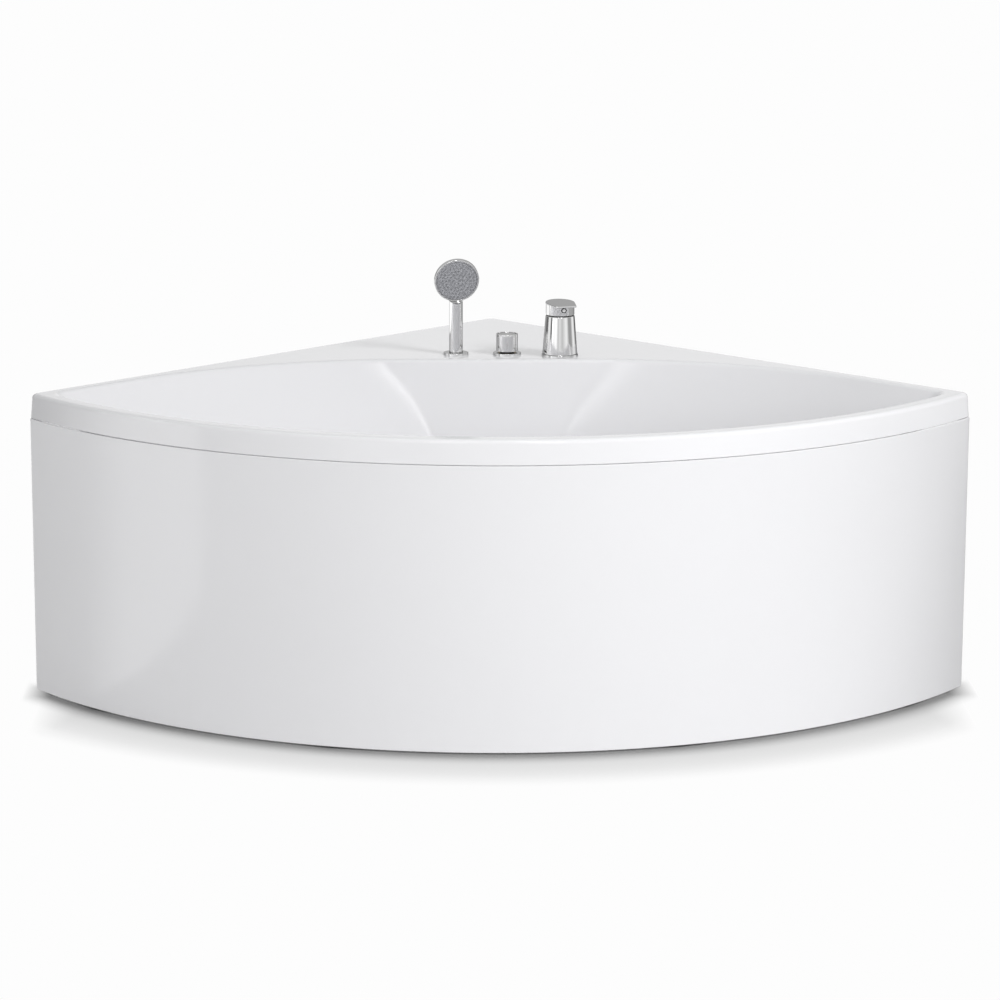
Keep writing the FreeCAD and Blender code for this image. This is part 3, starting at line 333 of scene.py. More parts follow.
# %% Shell sizes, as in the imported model
FRONT_R, DEPTH, RIM_Z, CORNER_R = 1.184, 1.476, 0.625, 0.018
FRONT_Y = -(DEPTH - CORNER_R * (math.sqrt(2) - 1)) / 2
BACK_Y = FRONT_Y + DEPTH
ARC_Y = FRONT_Y + FRONT_R
SKIRT_Z, SKIRT_WALL, SETBACK, DRAFT, EDGE_R = 0.575, 0.006, 0.002, 0.004, 0.010
WALL, LIP_R, FLOOR_R, BASIN = 0.008, 0.012, 0.080, 0.430
FRONT_RIM, WALL_RIM, LEDGE = 0.046, 0.032, 0.570
SLOPES = {"front": 0.21, "side": 0.86, "back": 0.27}
CREASE_TOP, CREASE_FLOOR, CREASE_FADE, CREASE_R = 0.256, 0.110, 0.110, 0.070
SCOOP_R, TIP_TOP, TIP_FLOOR = 0.850, 0.040, 0.110
DRAIN = np.array((0.0, -0.445))
ROOT2 = math.sqrt(2)
print("rim", round(DEPTH, 3), "deep before its corners are rounded,", RIM_Z, "high")


# %% Arcs and straight runs
def arc_points(cx, cy, radius, start, end, steps):
    """Points of an arc, from start to end degrees about its centre."""
    angles = np.radians(np.linspace(start, end, steps))
    return np.c_[cx + radius * np.cos(angles), cy + radius * np.sin(angles)]


def straight(start, end, steps=200):
    """Points along a straight run, without its ends."""
    shares = np.linspace(0, 1, steps + 2)[1:-1, None]
    return np.array(start) + (np.array(end) - np.array(start)) * shares


def tangent_centre(front_r, line_sum, radius):
    """Centre of the circle that rounds the corner of the front arc and the wall line."""
    lift = line_sum - ROOT2 * radius - ARC_Y
    reach = front_r - radius
    x = (lift + math.sqrt(2 * reach ** 2 - lift ** 2)) / 2
    return x, line_sum - ROOT2 * radius - x


def mirrored(right_half):
    """Close an outline whose right half runs from the front middle to the back middle."""
    left = right_half[::-1].copy()
    left[:, 0] *= -1
    return np.vstack([right_half, left[1:-1]])


# %% Outline of the rim
def rim_outline(front_inset, wall_inset, rounding):
    """The rim from above, moved in from its front and from its walls."""
    front_r = FRONT_R - front_inset
    line_sum = BACK_Y - ROOT2 * wall_inset
    cx, cy = tangent_centre(front_r, line_sum, rounding)
    end = math.degrees(math.atan2(cy - ARC_Y, cx))
    corner = arc_points(cx, cy, rounding, end, 45, 60)[1:]
    back = arc_points(0, line_sum - ROOT2 * rounding, rounding, 45, 90, 40)
    return mirrored(np.vstack([
        arc_points(0, ARC_Y, front_r, -90, end, 900), corner, straight(corner[-1], back[0], 700), back
    ]))


# %% Outline of the basin at a depth
def run_in(depth, slope, total, foot, thickness):
    """How far a sloping wall stands in from its line at the rim, with its rounded top and foot."""
    lean = math.atan(slope)
    outward = thickness * math.sqrt(1 + slope ** 2)
    if depth < LIP_R * (1 - math.sin(lean)):
        sweep = math.acos(1 - max(depth, 0) / LIP_R)
        return LIP_R * math.sin(sweep) - LIP_R * math.tan((math.pi / 2 - lean) / 2) - outward
    if total - depth < foot * (1 - math.sin(lean)):
        sweep = math.acos(1 - (total - depth) / foot)
        tangent = foot * math.tan((math.pi / 2 - lean) / 2)
        return slope * total + tangent - foot * math.sin(sweep) - outward
    return slope * depth - outward


def basin_outline(depth, thickness=0.0):
    """The basin's outline at a depth under the rim; with a thickness, its outside."""
    total, foot = BASIN + thickness, FLOOR_R + thickness
    depth = min(depth, total)
    run = {k: run_in(depth, s, total, foot, thickness) for k, s in SLOPES.items()}
    share = min(max(depth / BASIN, 0), 1)
    front_r = FRONT_R - FRONT_RIM - run["front"]
    side_sum = BACK_Y - ROOT2 * (WALL_RIM + run["side"])
    back = BACK_Y - LEDGE - run["back"]
    crease = CREASE_FLOOR + (CREASE_TOP - CREASE_FLOOR) * math.exp(-depth / CREASE_FADE)
    crease -= run["back"] - SLOPES["back"] * depth
    scoop = SCOOP_R + thickness
    tip = TIP_TOP + (TIP_FLOOR - TIP_TOP) * share + thickness
    sweep = math.degrees(math.acos(1 - (side_sum - crease - back) / ROOT2 / scoop))
    scoop_x = crease - scoop * math.cos(math.radians(45 + sweep))
    scoop_y = back - scoop * math.sin(math.radians(45 + sweep))
    round_y = back - CREASE_R
    round_x = scoop_x + math.sqrt((scoop - CREASE_R) ** 2 - (round_y - scoop_y) ** 2)
    meet = math.degrees(math.atan2(round_y - scoop_y, round_x - scoop_x))
    tip_x, tip_y = tangent_centre(front_r, side_sum, tip)
    turn = math.degrees(math.atan2(tip_y - ARC_Y, tip_x))
    tip_end = arc_points(tip_x, tip_y, tip, turn, 45, 80)[1:]
    side = arc_points(scoop_x, scoop_y, scoop, 45, meet, 300)
    bend = arc_points(round_x, round_y, CREASE_R, meet, 90, 60)[1:]
    return mirrored(np.vstack([
        arc_points(0, ARC_Y, front_r, -90, turn, 700),
        tip_end, straight(tip_end[-1], side[0]), side, bend, straight(bend[-1], (0.0, back)),
        np.array([(0.0, back)]),
    ]))


print("rim", len(rim_outline(0, 0, CORNER_R)), "points; basin", len(basin_outline(0.1)), "points")

# %% Directions from the drain, closer together at the corners
def directions(count=480, extra=26, spread=0.05, nearest=6e-4):
    """Even directions all round, and more of them on both sides of each corner."""
    found = [np.linspace(-np.pi, np.pi, count, endpoint=False)]
    for outline in (rim_outline(0, 0, CORNER_R), basin_outline(0.0)):
        x, y = outline.T
        for corner in (outline[x.argmax()], outline[x.argmin()], outline[y.argmax()]):
            middle = math.atan2(corner[1] - DRAIN[1], corner[0] - DRAIN[0])
            found.append(middle + np.linspace(-spread, spread, extra))
    angles = np.unique(np.round((np.concatenate(found) + np.pi) % (2 * np.pi) - np.pi, 5))
    keep = np.concatenate([[True], np.diff(angles) > nearest])
    return angles[keep]


ANGLES = directions()


def row(outline, z):
    """The outline's points in each of the directions, at one height."""
    reach = outline - DRAIN
    angle = np.arctan2(reach[:, 1], reach[:, 0])
    radius = np.hypot(reach[:, 0], reach[:, 1])
    order = np.argsort(angle)
    r = np.interp(ANGLES, angle[order], radius[order], period=2 * np.pi)
    return np.c_[DRAIN[0] + r * np.cos(ANGLES), DRAIN[1] + r * np.sin(ANGLES),
                 np.full(len(ANGLES), z)]


def between(low, high, share):
    """A number or a row that lies a share of the way from low to high."""
    return low + (high - low) * share


def ring_row(radius, z):
    """A circle round the drain, at one height."""
    return np.c_[DRAIN[0] + radius * np.cos(ANGLES), DRAIN[1] + radius * np.sin(ANGLES),
                 np.full(len(ANGLES), z)]


print("directions", len(ANGLES))

# %% Rows of the shell, from the drain up the basin to the rim
FLOOR_Z, DRAIN_RING = RIM_Z - BASIN, 0.025
inside = [row(basin_outline(d), RIM_Z - d) for d in (
    [BASIN - FLOOR_R * (1 - math.cos(a)) for a in np.radians(np.linspace(0, 78, 20))]
    + list(np.linspace(BASIN - FLOOR_R * 0.82, LIP_R * 1.3, 22))
    + [LIP_R * (1 - math.cos(a)) for a in np.radians(np.linspace(80, 0, 9))]
)]
floor_edge = inside[0]
floor_start = ring_row(DRAIN_RING, FLOOR_Z)
floor_rows = [floor_start] + [between(floor_start, floor_edge, s) for s in
                              (0.05, 0.15, 0.3, 0.5, 0.7, 0.85, 0.95)]
print("rows inside the basin", len(floor_rows) + len(inside))

# %% Rows over the rim and its turned-down edge
rim_inner = inside[-1]
top_inset = SETBACK + DRAFT
SKIRT_EASE, SKIRT_INSIDE = 0.0015, 0.02
rim_top = row(rim_outline(top_inset + EDGE_R, EDGE_R, CORNER_R - EDGE_R * 0.9), RIM_Z)
deck_rows = [between(rim_inner, rim_top, s) for s in (0.04, 0.15, 0.35, 0.6, 0.82, 0.95)] + [rim_top]
edge_rows = []
for angle in np.radians(np.linspace(12, 90, 8)):
    inset = EDGE_R * (1 - math.sin(angle))
    edge_rows.append(row(rim_outline(top_inset + inset, inset, CORNER_R - inset * 0.9),
                         RIM_Z - EDGE_R * (1 - math.cos(angle))))
skirt_rows = [row(rim_outline(between(top_inset, SETBACK, s), 0, CORNER_R),
                  between(RIM_Z - EDGE_R, SKIRT_Z + SKIRT_EASE, s)) for s in (0.35, 0.7, 1.0)]
skirt_rows += [row(rim_outline(SETBACK + SKIRT_EASE, SKIRT_EASE, CORNER_R), SKIRT_Z)]
inner_skirt = top_inset + SKIRT_WALL
skirt_rows += [row(rim_outline(inner_skirt, SKIRT_WALL, CORNER_R - SKIRT_WALL), z)
               for z in (SKIRT_Z, SKIRT_Z + SKIRT_INSIDE, RIM_Z - WALL)]
print("rows over the rim", len(deck_rows) + len(edge_rows) + len(skirt_rows))

# %% Rows back underneath, and the whole shell
under_rim = row(basin_outline(WALL, WALL), RIM_Z - WALL)
under_rows = [between(skirt_rows[-1], under_rim, s) for s in (0.3, 0.65)] + [under_rim]
out_total = BASIN + WALL
outside = [row(basin_outline(d, WALL), RIM_Z - d) for d in (
    list(np.linspace(WALL + 0.012, out_total - (FLOOR_R + WALL) * 0.8, 14))
    + [out_total - (FLOOR_R + WALL) * (1 - math.cos(a)) for a in np.radians(np.linspace(76, 0, 10))]
)]
base_rows = [between(outside[-1], ring_row(DRAIN_RING, FLOOR_Z - WALL), s) for s in (0.4, 0.8, 1.0)]
shell_rows = floor_rows + inside + deck_rows + edge_rows + skirt_rows + under_rows + outside + base_rows
shell_rows.append(floor_start)
shell = wrapped_piece(shell_rows)
finish_piece(shell, "acrylic_shell", SHELL_ACRYLIC, "tub", ["tub_shell"], 40)

# %% [markdown]
# ## The apron
# The apron is a curved panel that stops just short of the floor and of the rim, so a dark line shows
# under the rim. It is a thin band swept along the same arc, turned in at both ends.

# %% Apron panel
APRON_WALL, APRON_LOW, APRON_HIGH, APRON_TURN = 0.005, 0.003, 0.5744, 0.018


def apron_path(inset):
    """The apron's line in plan from its left end to its right end."""
    front_r, rounding = FRONT_R - inset, CORNER_R - inset
    cx, cy = tangent_centre(front_r, BACK_Y - ROOT2 * inset, rounding)
    end = math.degrees(math.atan2(cy - ARC_Y, cx))
    corner = arc_points(cx, cy, rounding, end, 45, 14)
    tail = corner[-1] + np.array([(-1, 1)]) / ROOT2 * np.linspace(0.3, 1, 3)[:, None] * APRON_TURN
    half = np.vstack([arc_points(0, ARC_Y, front_r, -90, end, 140), corner[1:], tail])
    left = half[::-1].copy()
    left[:, 0] *= -1
    return np.vstack([left, half[1:]])


EASE = 0.0012
profile = [(EASE, APRON_HIGH), (0, APRON_HIGH - EASE)]
profile += [(0, between(APRON_HIGH - EASE, APRON_LOW + EASE, s)) for s in (0.25, 0.5, 0.75, 1)]
profile += [(EASE, APRON_LOW), (APRON_WALL - EASE, APRON_LOW), (APRON_WALL, APRON_LOW + EASE)]
profile += [(APRON_WALL, between(APRON_LOW + EASE, APRON_HIGH - EASE, s)) for s in (0.5, 1)]
profile += [(APRON_WALL - EASE, APRON_HIGH)]
paths = [np.c_[apron_path(inset), np.full(len(apron_path(inset)), z)] for inset, z in profile]
apron = wrapped_piece([np.array(across) for across in zip(*paths)])
close_ends(apron)
finish_piece(apron, "apron", APRON_ACRYLIC, "tub", ["apron_panel"], 40)

# %% [markdown]
# ## The taps
# Three chrome fittings stand on the ledge behind the basin: a hand shower in its sleeve, a diverter
# knob and a mixer with a lever. All are turned or cast brass, so most pieces here are turned from a
# profile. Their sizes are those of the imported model, so each piece stands exactly on its node.

# %% Where the fittings stand
DECK = RIM_Z
FITTINGS_Y = BACK_Y - LEDGE + 0.0683
MIXER_Y = BACK_Y - LEDGE + 0.0503
HOLDER_X, DIVERTER_X, MIXER_X = -0.0874, 0.0237, 0.1381
SHANK = 0.0195


def turned_ring(radius, bore, height, bevel):
    """A flat ring with an eased top edge, from its bore round its outside and back."""
    return turned_piece([
        (bore, 0), (radius, 0), (radius, height - bevel),
        *fillet(radius - bevel, height - bevel, bevel, 0, 90), (bore, height), (bore, 0),
    ])


print("fittings stand", round(FITTINGS_Y, 3), "and", round(MIXER_Y, 3), "m behind the middle")


# %% [markdown]
# The rosettes are pressed rings that hide the holes in the deck. Their top edge is eased by about a
# millimetre, which is what catches the light as a thin bright line.

# %% Rosettes
ROSETTE_Z, ROSETTE_EASE = 0.005, 0.0011
for name, radius, bore, x in (
    ("holder_rosette", 0.027, 0.01505, HOLDER_X),
    ("diverter_rosette", 0.030, SHANK, DIVERTER_X),
):
    piece = place(turned_ring(radius, bore, ROSETTE_Z, ROSETTE_EASE), x, FITTINGS_Y, DECK)
    finish_piece(piece, name + "_dressed", CHROME, "tub", [name], 30)

# %% [markdown]
# The diverter's knob is a short cylinder with a dished top. It stands three millimetres over its
# rosette on a thinner neck, and that gap reads as a black line. The neck has the dark rubber finish
# as painted shade in that gap.

# %% Diverter knob
KNOB_R, KNOB_TOP, KNOB_LOW, KNOB_FOOT, KNOB_EASE = 0.0235, 0.046, 0.008, 0.0004, 0.0012
DISH_R, DISH_WALL, DISH_STEP, DISH_GROOVE = 0.0205, 0.0004, 0.0015, 0.00012
dish_z = KNOB_TOP - KNOB_EASE
dish = [(DISH_R - DISH_WALL - DISH_STEP * i, dish_z - DISH_GROOVE * (i % 2)) for i in range(13)]
knob = turned_piece([
    (0, KNOB_LOW), (KNOB_R - KNOB_FOOT, KNOB_LOW), (KNOB_R, KNOB_LOW + KNOB_FOOT), (KNOB_R, dish_z),
    *fillet(KNOB_R - KNOB_EASE, dish_z, KNOB_EASE, 0, 90), (DISH_R, KNOB_TOP), *dish, (0, dish_z),
])
place(knob, DIVERTER_X, FITTINGS_Y, DECK)
finish_piece(knob, "diverter_knob_dressed", CHROME, "diverter_control", ["diverter_knob"], 30)
NECK_OUT, NECK_LOW = 0.016, 0.0053
neck = turned_piece([(0, NECK_LOW), (NECK_OUT, NECK_LOW), (NECK_OUT, KNOB_LOW), (0, KNOB_LOW)])
place(neck, DIVERTER_X, FITTINGS_Y, DECK)
# The neck's dark finish is painted shade in the gap under the knob.
finish_piece(neck, "diverter_neck_painted_shade", FINISHES["rubber"], "diverter_control")

# %% [markdown]
# The hand shower is a straight tube with a flat round head. The head is turned lying flat, then
# tipped so that its spray face looks forward and fifteen degrees down, and turned with the handle.

# %% Handset sizes
HANDLE_R, HANDLE_LOW, HEAD_Z, HEAD_R, FACE_R = 0.01475, -0.062, 0.163, 0.0488, 0.045
HEAD_TILT, HEAD_FRONT, HAND_YAW, HEAD_RIM, HEAD_DOME = 15.0, 0.014, 8.0, 0.009, 0.014
IN_HAND = (
    Matrix.Translation((HOLDER_X, FITTINGS_Y, DECK)) @ Matrix.Rotation(math.radians(HAND_YAW), 4, "Z")
)
FACING = (
    IN_HAND @ Matrix.Translation((0, -HEAD_FRONT, HEAD_Z))
    @ Matrix.Rotation(math.radians(90 + HEAD_TILT), 4, "X")
)
dome_r = (HEAD_R ** 2 + HEAD_DOME ** 2) / (2 * HEAD_DOME)
dome_low = -HEAD_RIM - HEAD_DOME
dome_turn = math.degrees(math.asin(HEAD_R / dome_r))
dome = fillet(0, dome_low + dome_r, dome_r, -90, -90 + dome_turn, 14)
print("the head's back is a dome of radius", round(dome_r * 1000, 1), "mm")

# %% Handset handle
TAIL, TAIL_R, ROOM = 0.014, 0.007, 0.060
handle = turned_piece([
    (0, HANDLE_LOW - TAIL), (TAIL_R, HANDLE_LOW - TAIL), (TAIL_R, HANDLE_LOW),
    (HANDLE_R, HANDLE_LOW), (HANDLE_R, 0), (HANDLE_R, HEAD_Z), (0, HEAD_Z),
])
handle.data.transform(IN_HAND)
head_room = turned_piece(dome + [(HEAD_R, ROOM), (0, ROOM)])
head_room.data.transform(FACING)
only(handle)
cut = handle.modifiers.new("head_room", "BOOLEAN")
cut.object, cut.operation, cut.solver = head_room, "DIFFERENCE", "EXACT"
bpy.ops.object.modifier_apply(modifier="head_room")
bpy.data.objects.remove(head_room)
finish_piece(handle, "handset_handle_dressed", CHROME, "handset", ["handset_handle"], 30)

# %% Handset head
BEZEL = grained_finish("satin_bezel", "#8B8D90", "#939598", 500, 0.35)
RIM_EASE, MOUTH_EASE, FACE_SEAT, SEAT_WIDTH, HEAD_INSIDE = 0.0015, 0.0006, -0.0042, 0.006, -0.0072
head = turned_piece([
    *dome, (HEAD_R, -RIM_EASE), *fillet(HEAD_R - RIM_EASE, -RIM_EASE, RIM_EASE, 0, 90),
    (FACE_R + MOUTH_EASE, 0), *fillet(FACE_R + MOUTH_EASE, -MOUTH_EASE, MOUTH_EASE, 90, 180, 3),
    (FACE_R, FACE_SEAT), (FACE_R - SEAT_WIDTH, FACE_SEAT), (FACE_R - SEAT_WIDTH, HEAD_INSIDE),
    (0, HEAD_INSIDE),
])
for face in head.data.polygons:
    front = face.normal.z > 0.5 and math.hypot(face.center.x, face.center.y) > FACE_R
    face.material_index = 1 if front else 0
head.data.transform(FACING)
finish_piece(head, "handset_head_dressed", CHROME, "handset", ["handset_head"], 30)
head.data.materials.append(BEZEL)

# %% [markdown]
# The spray face is a moulded plate with a raised collar round each ring of nozzles, so from afar it
# looks grey and grained. A dark line shows where it meets the chrome rim.

# %% Spray face
PLATE_Z, PLATE_EDGE, COLLAR_STEP, COLLAR_RISE, PLATE_RINGS = -0.0014, 0.0024, 0.0076, 0.00020, 40
collars = []
for i in range(PLATE_RINGS):
    radius = FACE_R - PLATE_EDGE - i * (FACE_R - PLATE_EDGE) / PLATE_RINGS
    crest = COLLAR_RISE * math.cos(2 * math.pi * radius / COLLAR_STEP)
    collars.append((radius, PLATE_Z + crest))
face = turned_piece([
    (0, FACE_SEAT), (FACE_R - 0.0002, FACE_SEAT), (FACE_R - 0.0002, -0.0016), (FACE_R - 0.0008, -0.0012),
    (FACE_R - 0.0018, -0.0012), (FACE_R - 0.0020, -0.0022), *collars, (0, PLATE_Z),
])
face.data.transform(FACING)
finish_piece(face, "handset_face_dressed", FINISHES["spray_plastic"], "handset", ["handset_face"],
             40)

# %% [markdown]
# The mixer's body is a slim cone on a base ring. Its foot and neck are eased, and the neck goes in
# under the lever as a joint line, darkened partly by painted shade.

# %% Mixer base ring and body
BASE_R, FOOT_R, NECK_R, NECK_Z, BASE_Z = 0.0394, 0.0380, 0.0316, 0.0888, 0.005
RING_EASE, RING_DROP, RING_STEP = 0.0006, 0.0014, 0.001
base_ring = turned_piece([
    (SHANK, 0), (BASE_R, 0), (BASE_R, BASE_Z - RING_DROP),
    *fillet(BASE_R - RING_EASE, BASE_Z - RING_DROP, RING_EASE, 0, 90, 3),
    (BASE_R - RING_STEP, BASE_Z - RING_DROP + RING_EASE), (BASE_R - RING_STEP, BASE_Z),
    (SHANK, BASE_Z), (SHANK, 0),
])
place(base_ring, MIXER_X, MIXER_Y, DECK)
finish_piece(base_ring, "mixer_base_ring_dressed", CHROME, "tub", ["mixer_base_ring"], 30)

body_side = [(between(FOOT_R, NECK_R, s), between(BASE_Z, NECK_Z, s)) for s in (0.02, 0.3, 0.6, 0.975)]
BORE_R, SHANK_LOW, CARTRIDGE_R, CARTRIDGE_LOW = 0.005, -0.058, 0.015, 0.0723
FOOT_EASE, NECK_EASE = 0.0012, 0.0016
body = turned_piece([
    (BORE_R, SHANK_LOW), (SHANK, SHANK_LOW), (SHANK, BASE_Z), (FOOT_R - FOOT_EASE, BASE_Z),
    *body_side, *fillet(NECK_R - NECK_EASE, NECK_Z - NECK_EASE, NECK_EASE, 10, 90),
    (CARTRIDGE_R, NECK_Z), (CARTRIDGE_R, CARTRIDGE_LOW), (BORE_R, CARTRIDGE_LOW), (BORE_R, SHANK_LOW),
])
place(body, MIXER_X, MIXER_Y, DECK)
finish_piece(body, "mixer_body_dressed", CHROME, "tub", ["mixer_body"], 30)

# %% [markdown]
# A dark rubber ring fills the joint under the lever from inside, so the joint reads as a line. It is
# partly a bearing ring of the kind real mixers have, and partly painted shade in the joint.

# %% Joint ring
JOINT_IN, JOINT_OUT = 0.017, 0.030
joint_low, joint_high = NECK_Z - 0.0004, NECK_Z + 0.0012
joint = turned_piece([
    (JOINT_IN, joint_low), (JOINT_OUT, joint_low), (JOINT_OUT, joint_high), (JOINT_IN, joint_high),
    (JOINT_IN, joint_low),
])
place(joint, MIXER_X, MIXER_Y, DECK)
# The ring's dark finish is partly a bearing ring's own colour and partly painted shade in the joint.
finish_piece(joint, "mixer_joint_ring_with_painted_shade", FINISHES["rubber"], "tub")

# %% [markdown]
# The lever is a cap that carries on the body's cone, with a flat plate on top that runs out forward
# to a squared tip. Its outline grows from a circle to the plate's shape, so it is wrapped: rows of
# points at the same directions, from the cap's inside down, round its lip, up to the plate, over the
# plate's eased edge and in to the middle of its top.

# %% Mixer lever
SKIRT_LOW, LEVER_HEIGHT, PLATE, LEVER_SLOPE, LEVER_YAW, RELIEF = 0.0910, 0.027, 0.004, 4.0, 16.0, 24.0
CAP_FOOT, CAP_TOP, PLATE_R, REACH, TIP_HALF, TIP_ROUND = 0.0311, 0.0310, 0.0318, 0.044, 0.023, 0.004
CAP_WALL_R, CAP_CEILING, STEM_Z, STEM_SIZE = 0.0280, 0.1095, 0.0963, (0.009, 0.008, 0.0290)
turns = np.radians(np.arange(0, 360, 1.5))
side_turn = math.acos(PLATE_R / math.hypot(TIP_HALF, REACH)) - math.atan2(REACH, TIP_HALF)


def blade_outline(inset):
    """The plate's outline: an arc, two flanks tangent to it, and a straight tip with round corners."""
    arc_r, tip_x, tip_y = PLATE_R - inset, TIP_HALF - inset * 0.8, -REACH + inset
    rounding = TIP_ROUND - inset * 0.8
    flank = np.array((arc_r * math.cos(side_turn), arc_r * math.sin(side_turn)))
    corner = np.array((tip_x, tip_y))
    along = (flank - corner) / np.linalg.norm(flank - corner)
    opening = math.acos(-along[0])
    cut = rounding / math.tan(opening / 2)
    centre_x, centre_y = tip_x - cut, tip_y + rounding
    start = math.degrees(math.atan2(-along[0], along[1]))
    rounded = arc_points(centre_x, centre_y, rounding, start, -90, 12)
    right_side = np.vstack([
        arc_points(0, 0, arc_r, 90, math.degrees(side_turn), 120),
        straight(flank, rounded[0], 60), rounded, straight(rounded[-1], (0, tip_y), 40), [(0, tip_y)],
    ])
    left_side = right_side[::-1][1:-1].copy()
    left_side[:, 0] *= -1
    return np.vstack([right_side, left_side])


# %% Rows of the lever
def polar_row(outline, height):
    """The outline in each direction from the middle; height is a number or a function of y."""
    angle = np.arctan2(outline[:, 1], outline[:, 0])
    order = np.argsort(angle)
    r = np.interp(turns, angle[order], np.hypot(*outline.T)[order], period=2 * np.pi)
    x, y = r * np.cos(turns), r * np.sin(turns)
    z = height(y) if callable(height) else np.full(len(x), height)
    return np.c_[x, y, z]


def round_outline(radius):
    """A circle with a point at each degree."""
    return arc_points(0, 0, radius, 0, 360, 361)[:-1]


LEVER_TOP = SKIRT_LOW + LEVER_HEIGHT
fall = math.tan(math.radians(LEVER_SLOPE))
rise = math.tan(math.radians(RELIEF))


def sloped(drop):
    """The height of the sloping top, lowered by drop."""
    return lambda y: LEVER_TOP - drop + y * fall


def lip(lift):
    """The height of the cap's lip, which rises at the back to clear the body when lifted."""
    return lambda y: np.minimum(SKIRT_LOW + lift + np.maximum(y, 0) * rise, LEVER_TOP - 0.0095)


lever_rows = [polar_row(round_outline(r), CAP_CEILING) for r in (0.0006, 0.014, CAP_WALL_R - 0.001)]
lever_rows += [polar_row(round_outline(CAP_WALL_R), z) for z in (CAP_CEILING - 0.001, lip(0.0004))]
lever_rows += [polar_row(round_outline(r), lip(h)) for r, h in (
    (CAP_WALL_R + 0.0004, 0), (CAP_FOOT - 0.0004, 0), (CAP_FOOT, 0.0004))]
lever_rows += [polar_row(round_outline(CAP_TOP), sloped(PLATE + 0.001))]
lever_rows += [polar_row(round_outline(CAP_TOP), sloped(PLATE))]
lever_rows += [polar_row(blade_outline(i), sloped(d)) for i, d in (
    (0.0006, PLATE), (0.0001, PLATE - 0.0004), (0, PLATE - 0.0007), (0, 0.0014),
    (0.0002, 0.0007), (0.0006, 0.0003), (0.0013, 0))]
lever_rows += [between(polar_row(round_outline(0.0006), sloped(0)), lever_rows[-1], s)
               for s in (0.97, 0.7, 0.35, 0.0)]
print("lever rows", len(lever_rows), "of", len(turns), "points")

# %% Lever and its stem
lever = wrapped_piece(lever_rows)
close_ends(lever)
bpy.ops.object.select_all(action="DESELECT")
bpy.ops.mesh.primitive_cube_add(size=1)
stem = bpy.context.object
stem.data.transform(Matrix.Translation((0, 0, STEM_Z)) @ Matrix.Diagonal((*STEM_SIZE, 1)))
lever.select_set(True)
bpy.context.view_layer.objects.active = lever
bpy.ops.object.join()
place(lever, MIXER_X, MIXER_Y, DECK, LEVER_YAW)
finish_piece(lever, "mixer_lever_dressed", CHROME, "mixer_handle", ["mixer_lever"], 30)

# %% [markdown]
# A small six-sided marker on the front of the cap shows the middle position. It is a white enamel
# spot in a dark frame, let into the chrome.

# %% Marker on the lever
MARK_TURN, MARK_Z, MARK_DEPTH, MARK_SUNK, MARK_SQUASH = 13.0, 0.1035, 0.0024, 0.0010, 0.85
MARK_WHITE = grained_finish("marker_enamel", "#ECECEC", "#F0F0F0", 500, 0.25)
MARK_DARK = grained_finish("marker_frame", "#1C1D1F", "#242527", 500, 0.3)
for name, size, out, finish in (
    ("mixer_marker_frame", 0.0068, 0.0008, MARK_DARK), ("mixer_marker", 0.0042, 0.0011, MARK_WHITE)
):
    bpy.ops.object.select_all(action="DESELECT")
    bpy.ops.mesh.primitive_cylinder_add(vertices=6, radius=size, depth=MARK_DEPTH)
    piece = bpy.context.object
    piece.data.transform(
        Matrix.Translation((MIXER_X, MIXER_Y, DECK + MARK_Z))
        @ Matrix.Rotation(math.radians(MARK_TURN), 4, "Z")
        @ Matrix.Translation((0, -CAP_TOP + MARK_SUNK - out, 0)) @ Matrix.Diagonal((1, 1, MARK_SQUASH, 1))
        @ Matrix.Rotation(math.radians(90), 4, "X") @ Matrix.Rotation(math.radians(30), 4, "Z")
    )
    finish_piece(piece, name, finish, "mixer_handle")

# %% [markdown]
# ## Studio
# The photograph shows a white floor without a horizon and a soft shadow close to the apron. The floor
# is a white plane. To the camera it is paper white, and darker where the tub closes it in, which an
# ambient occlusion node measures: once over 80 mm for the dark line at the apron's foot, and once
# over 220 mm for the soft shade in front of it. The light that falls on the tub stays as it is.

# %% Floor plane
STUDIO_R, BELOW_FEET = 6.0, 0.0005
PAPER_WHITE, PAPER_LIT, PAPER_SHADED = linear("#FDFDFD"), linear("#D2D2D2"), linear("#8C8C8C")
bpy.ops.object.select_all(action="DESELECT")
bpy.ops.mesh.primitive_circle_add(
    vertices=128, radius=STUDIO_R, fill_type="NGON", location=(0, 0, -BELOW_FEET)
)
floor = bpy.context.object
floor.name = "studio_floor"
print("floor", [round(side, 2) for side in floor.dimensions], "m")


# %% Shade near the tub
def grey_steps(ramp, steps):
    """Give a colour ramp its steps: each is a place between 0 and 1 and the grey there."""
    stops = ramp.color_ramp.elements
    stops[0].position, stops[1].position = steps[0][0], steps[-1][0]
    for at, grey in steps[1:-1]:
        stops.new(at)
    for stop, (at, grey) in zip(stops, steps):
        stop.color = (grey, grey, grey, 1)
    return ramp.outputs["Color"]


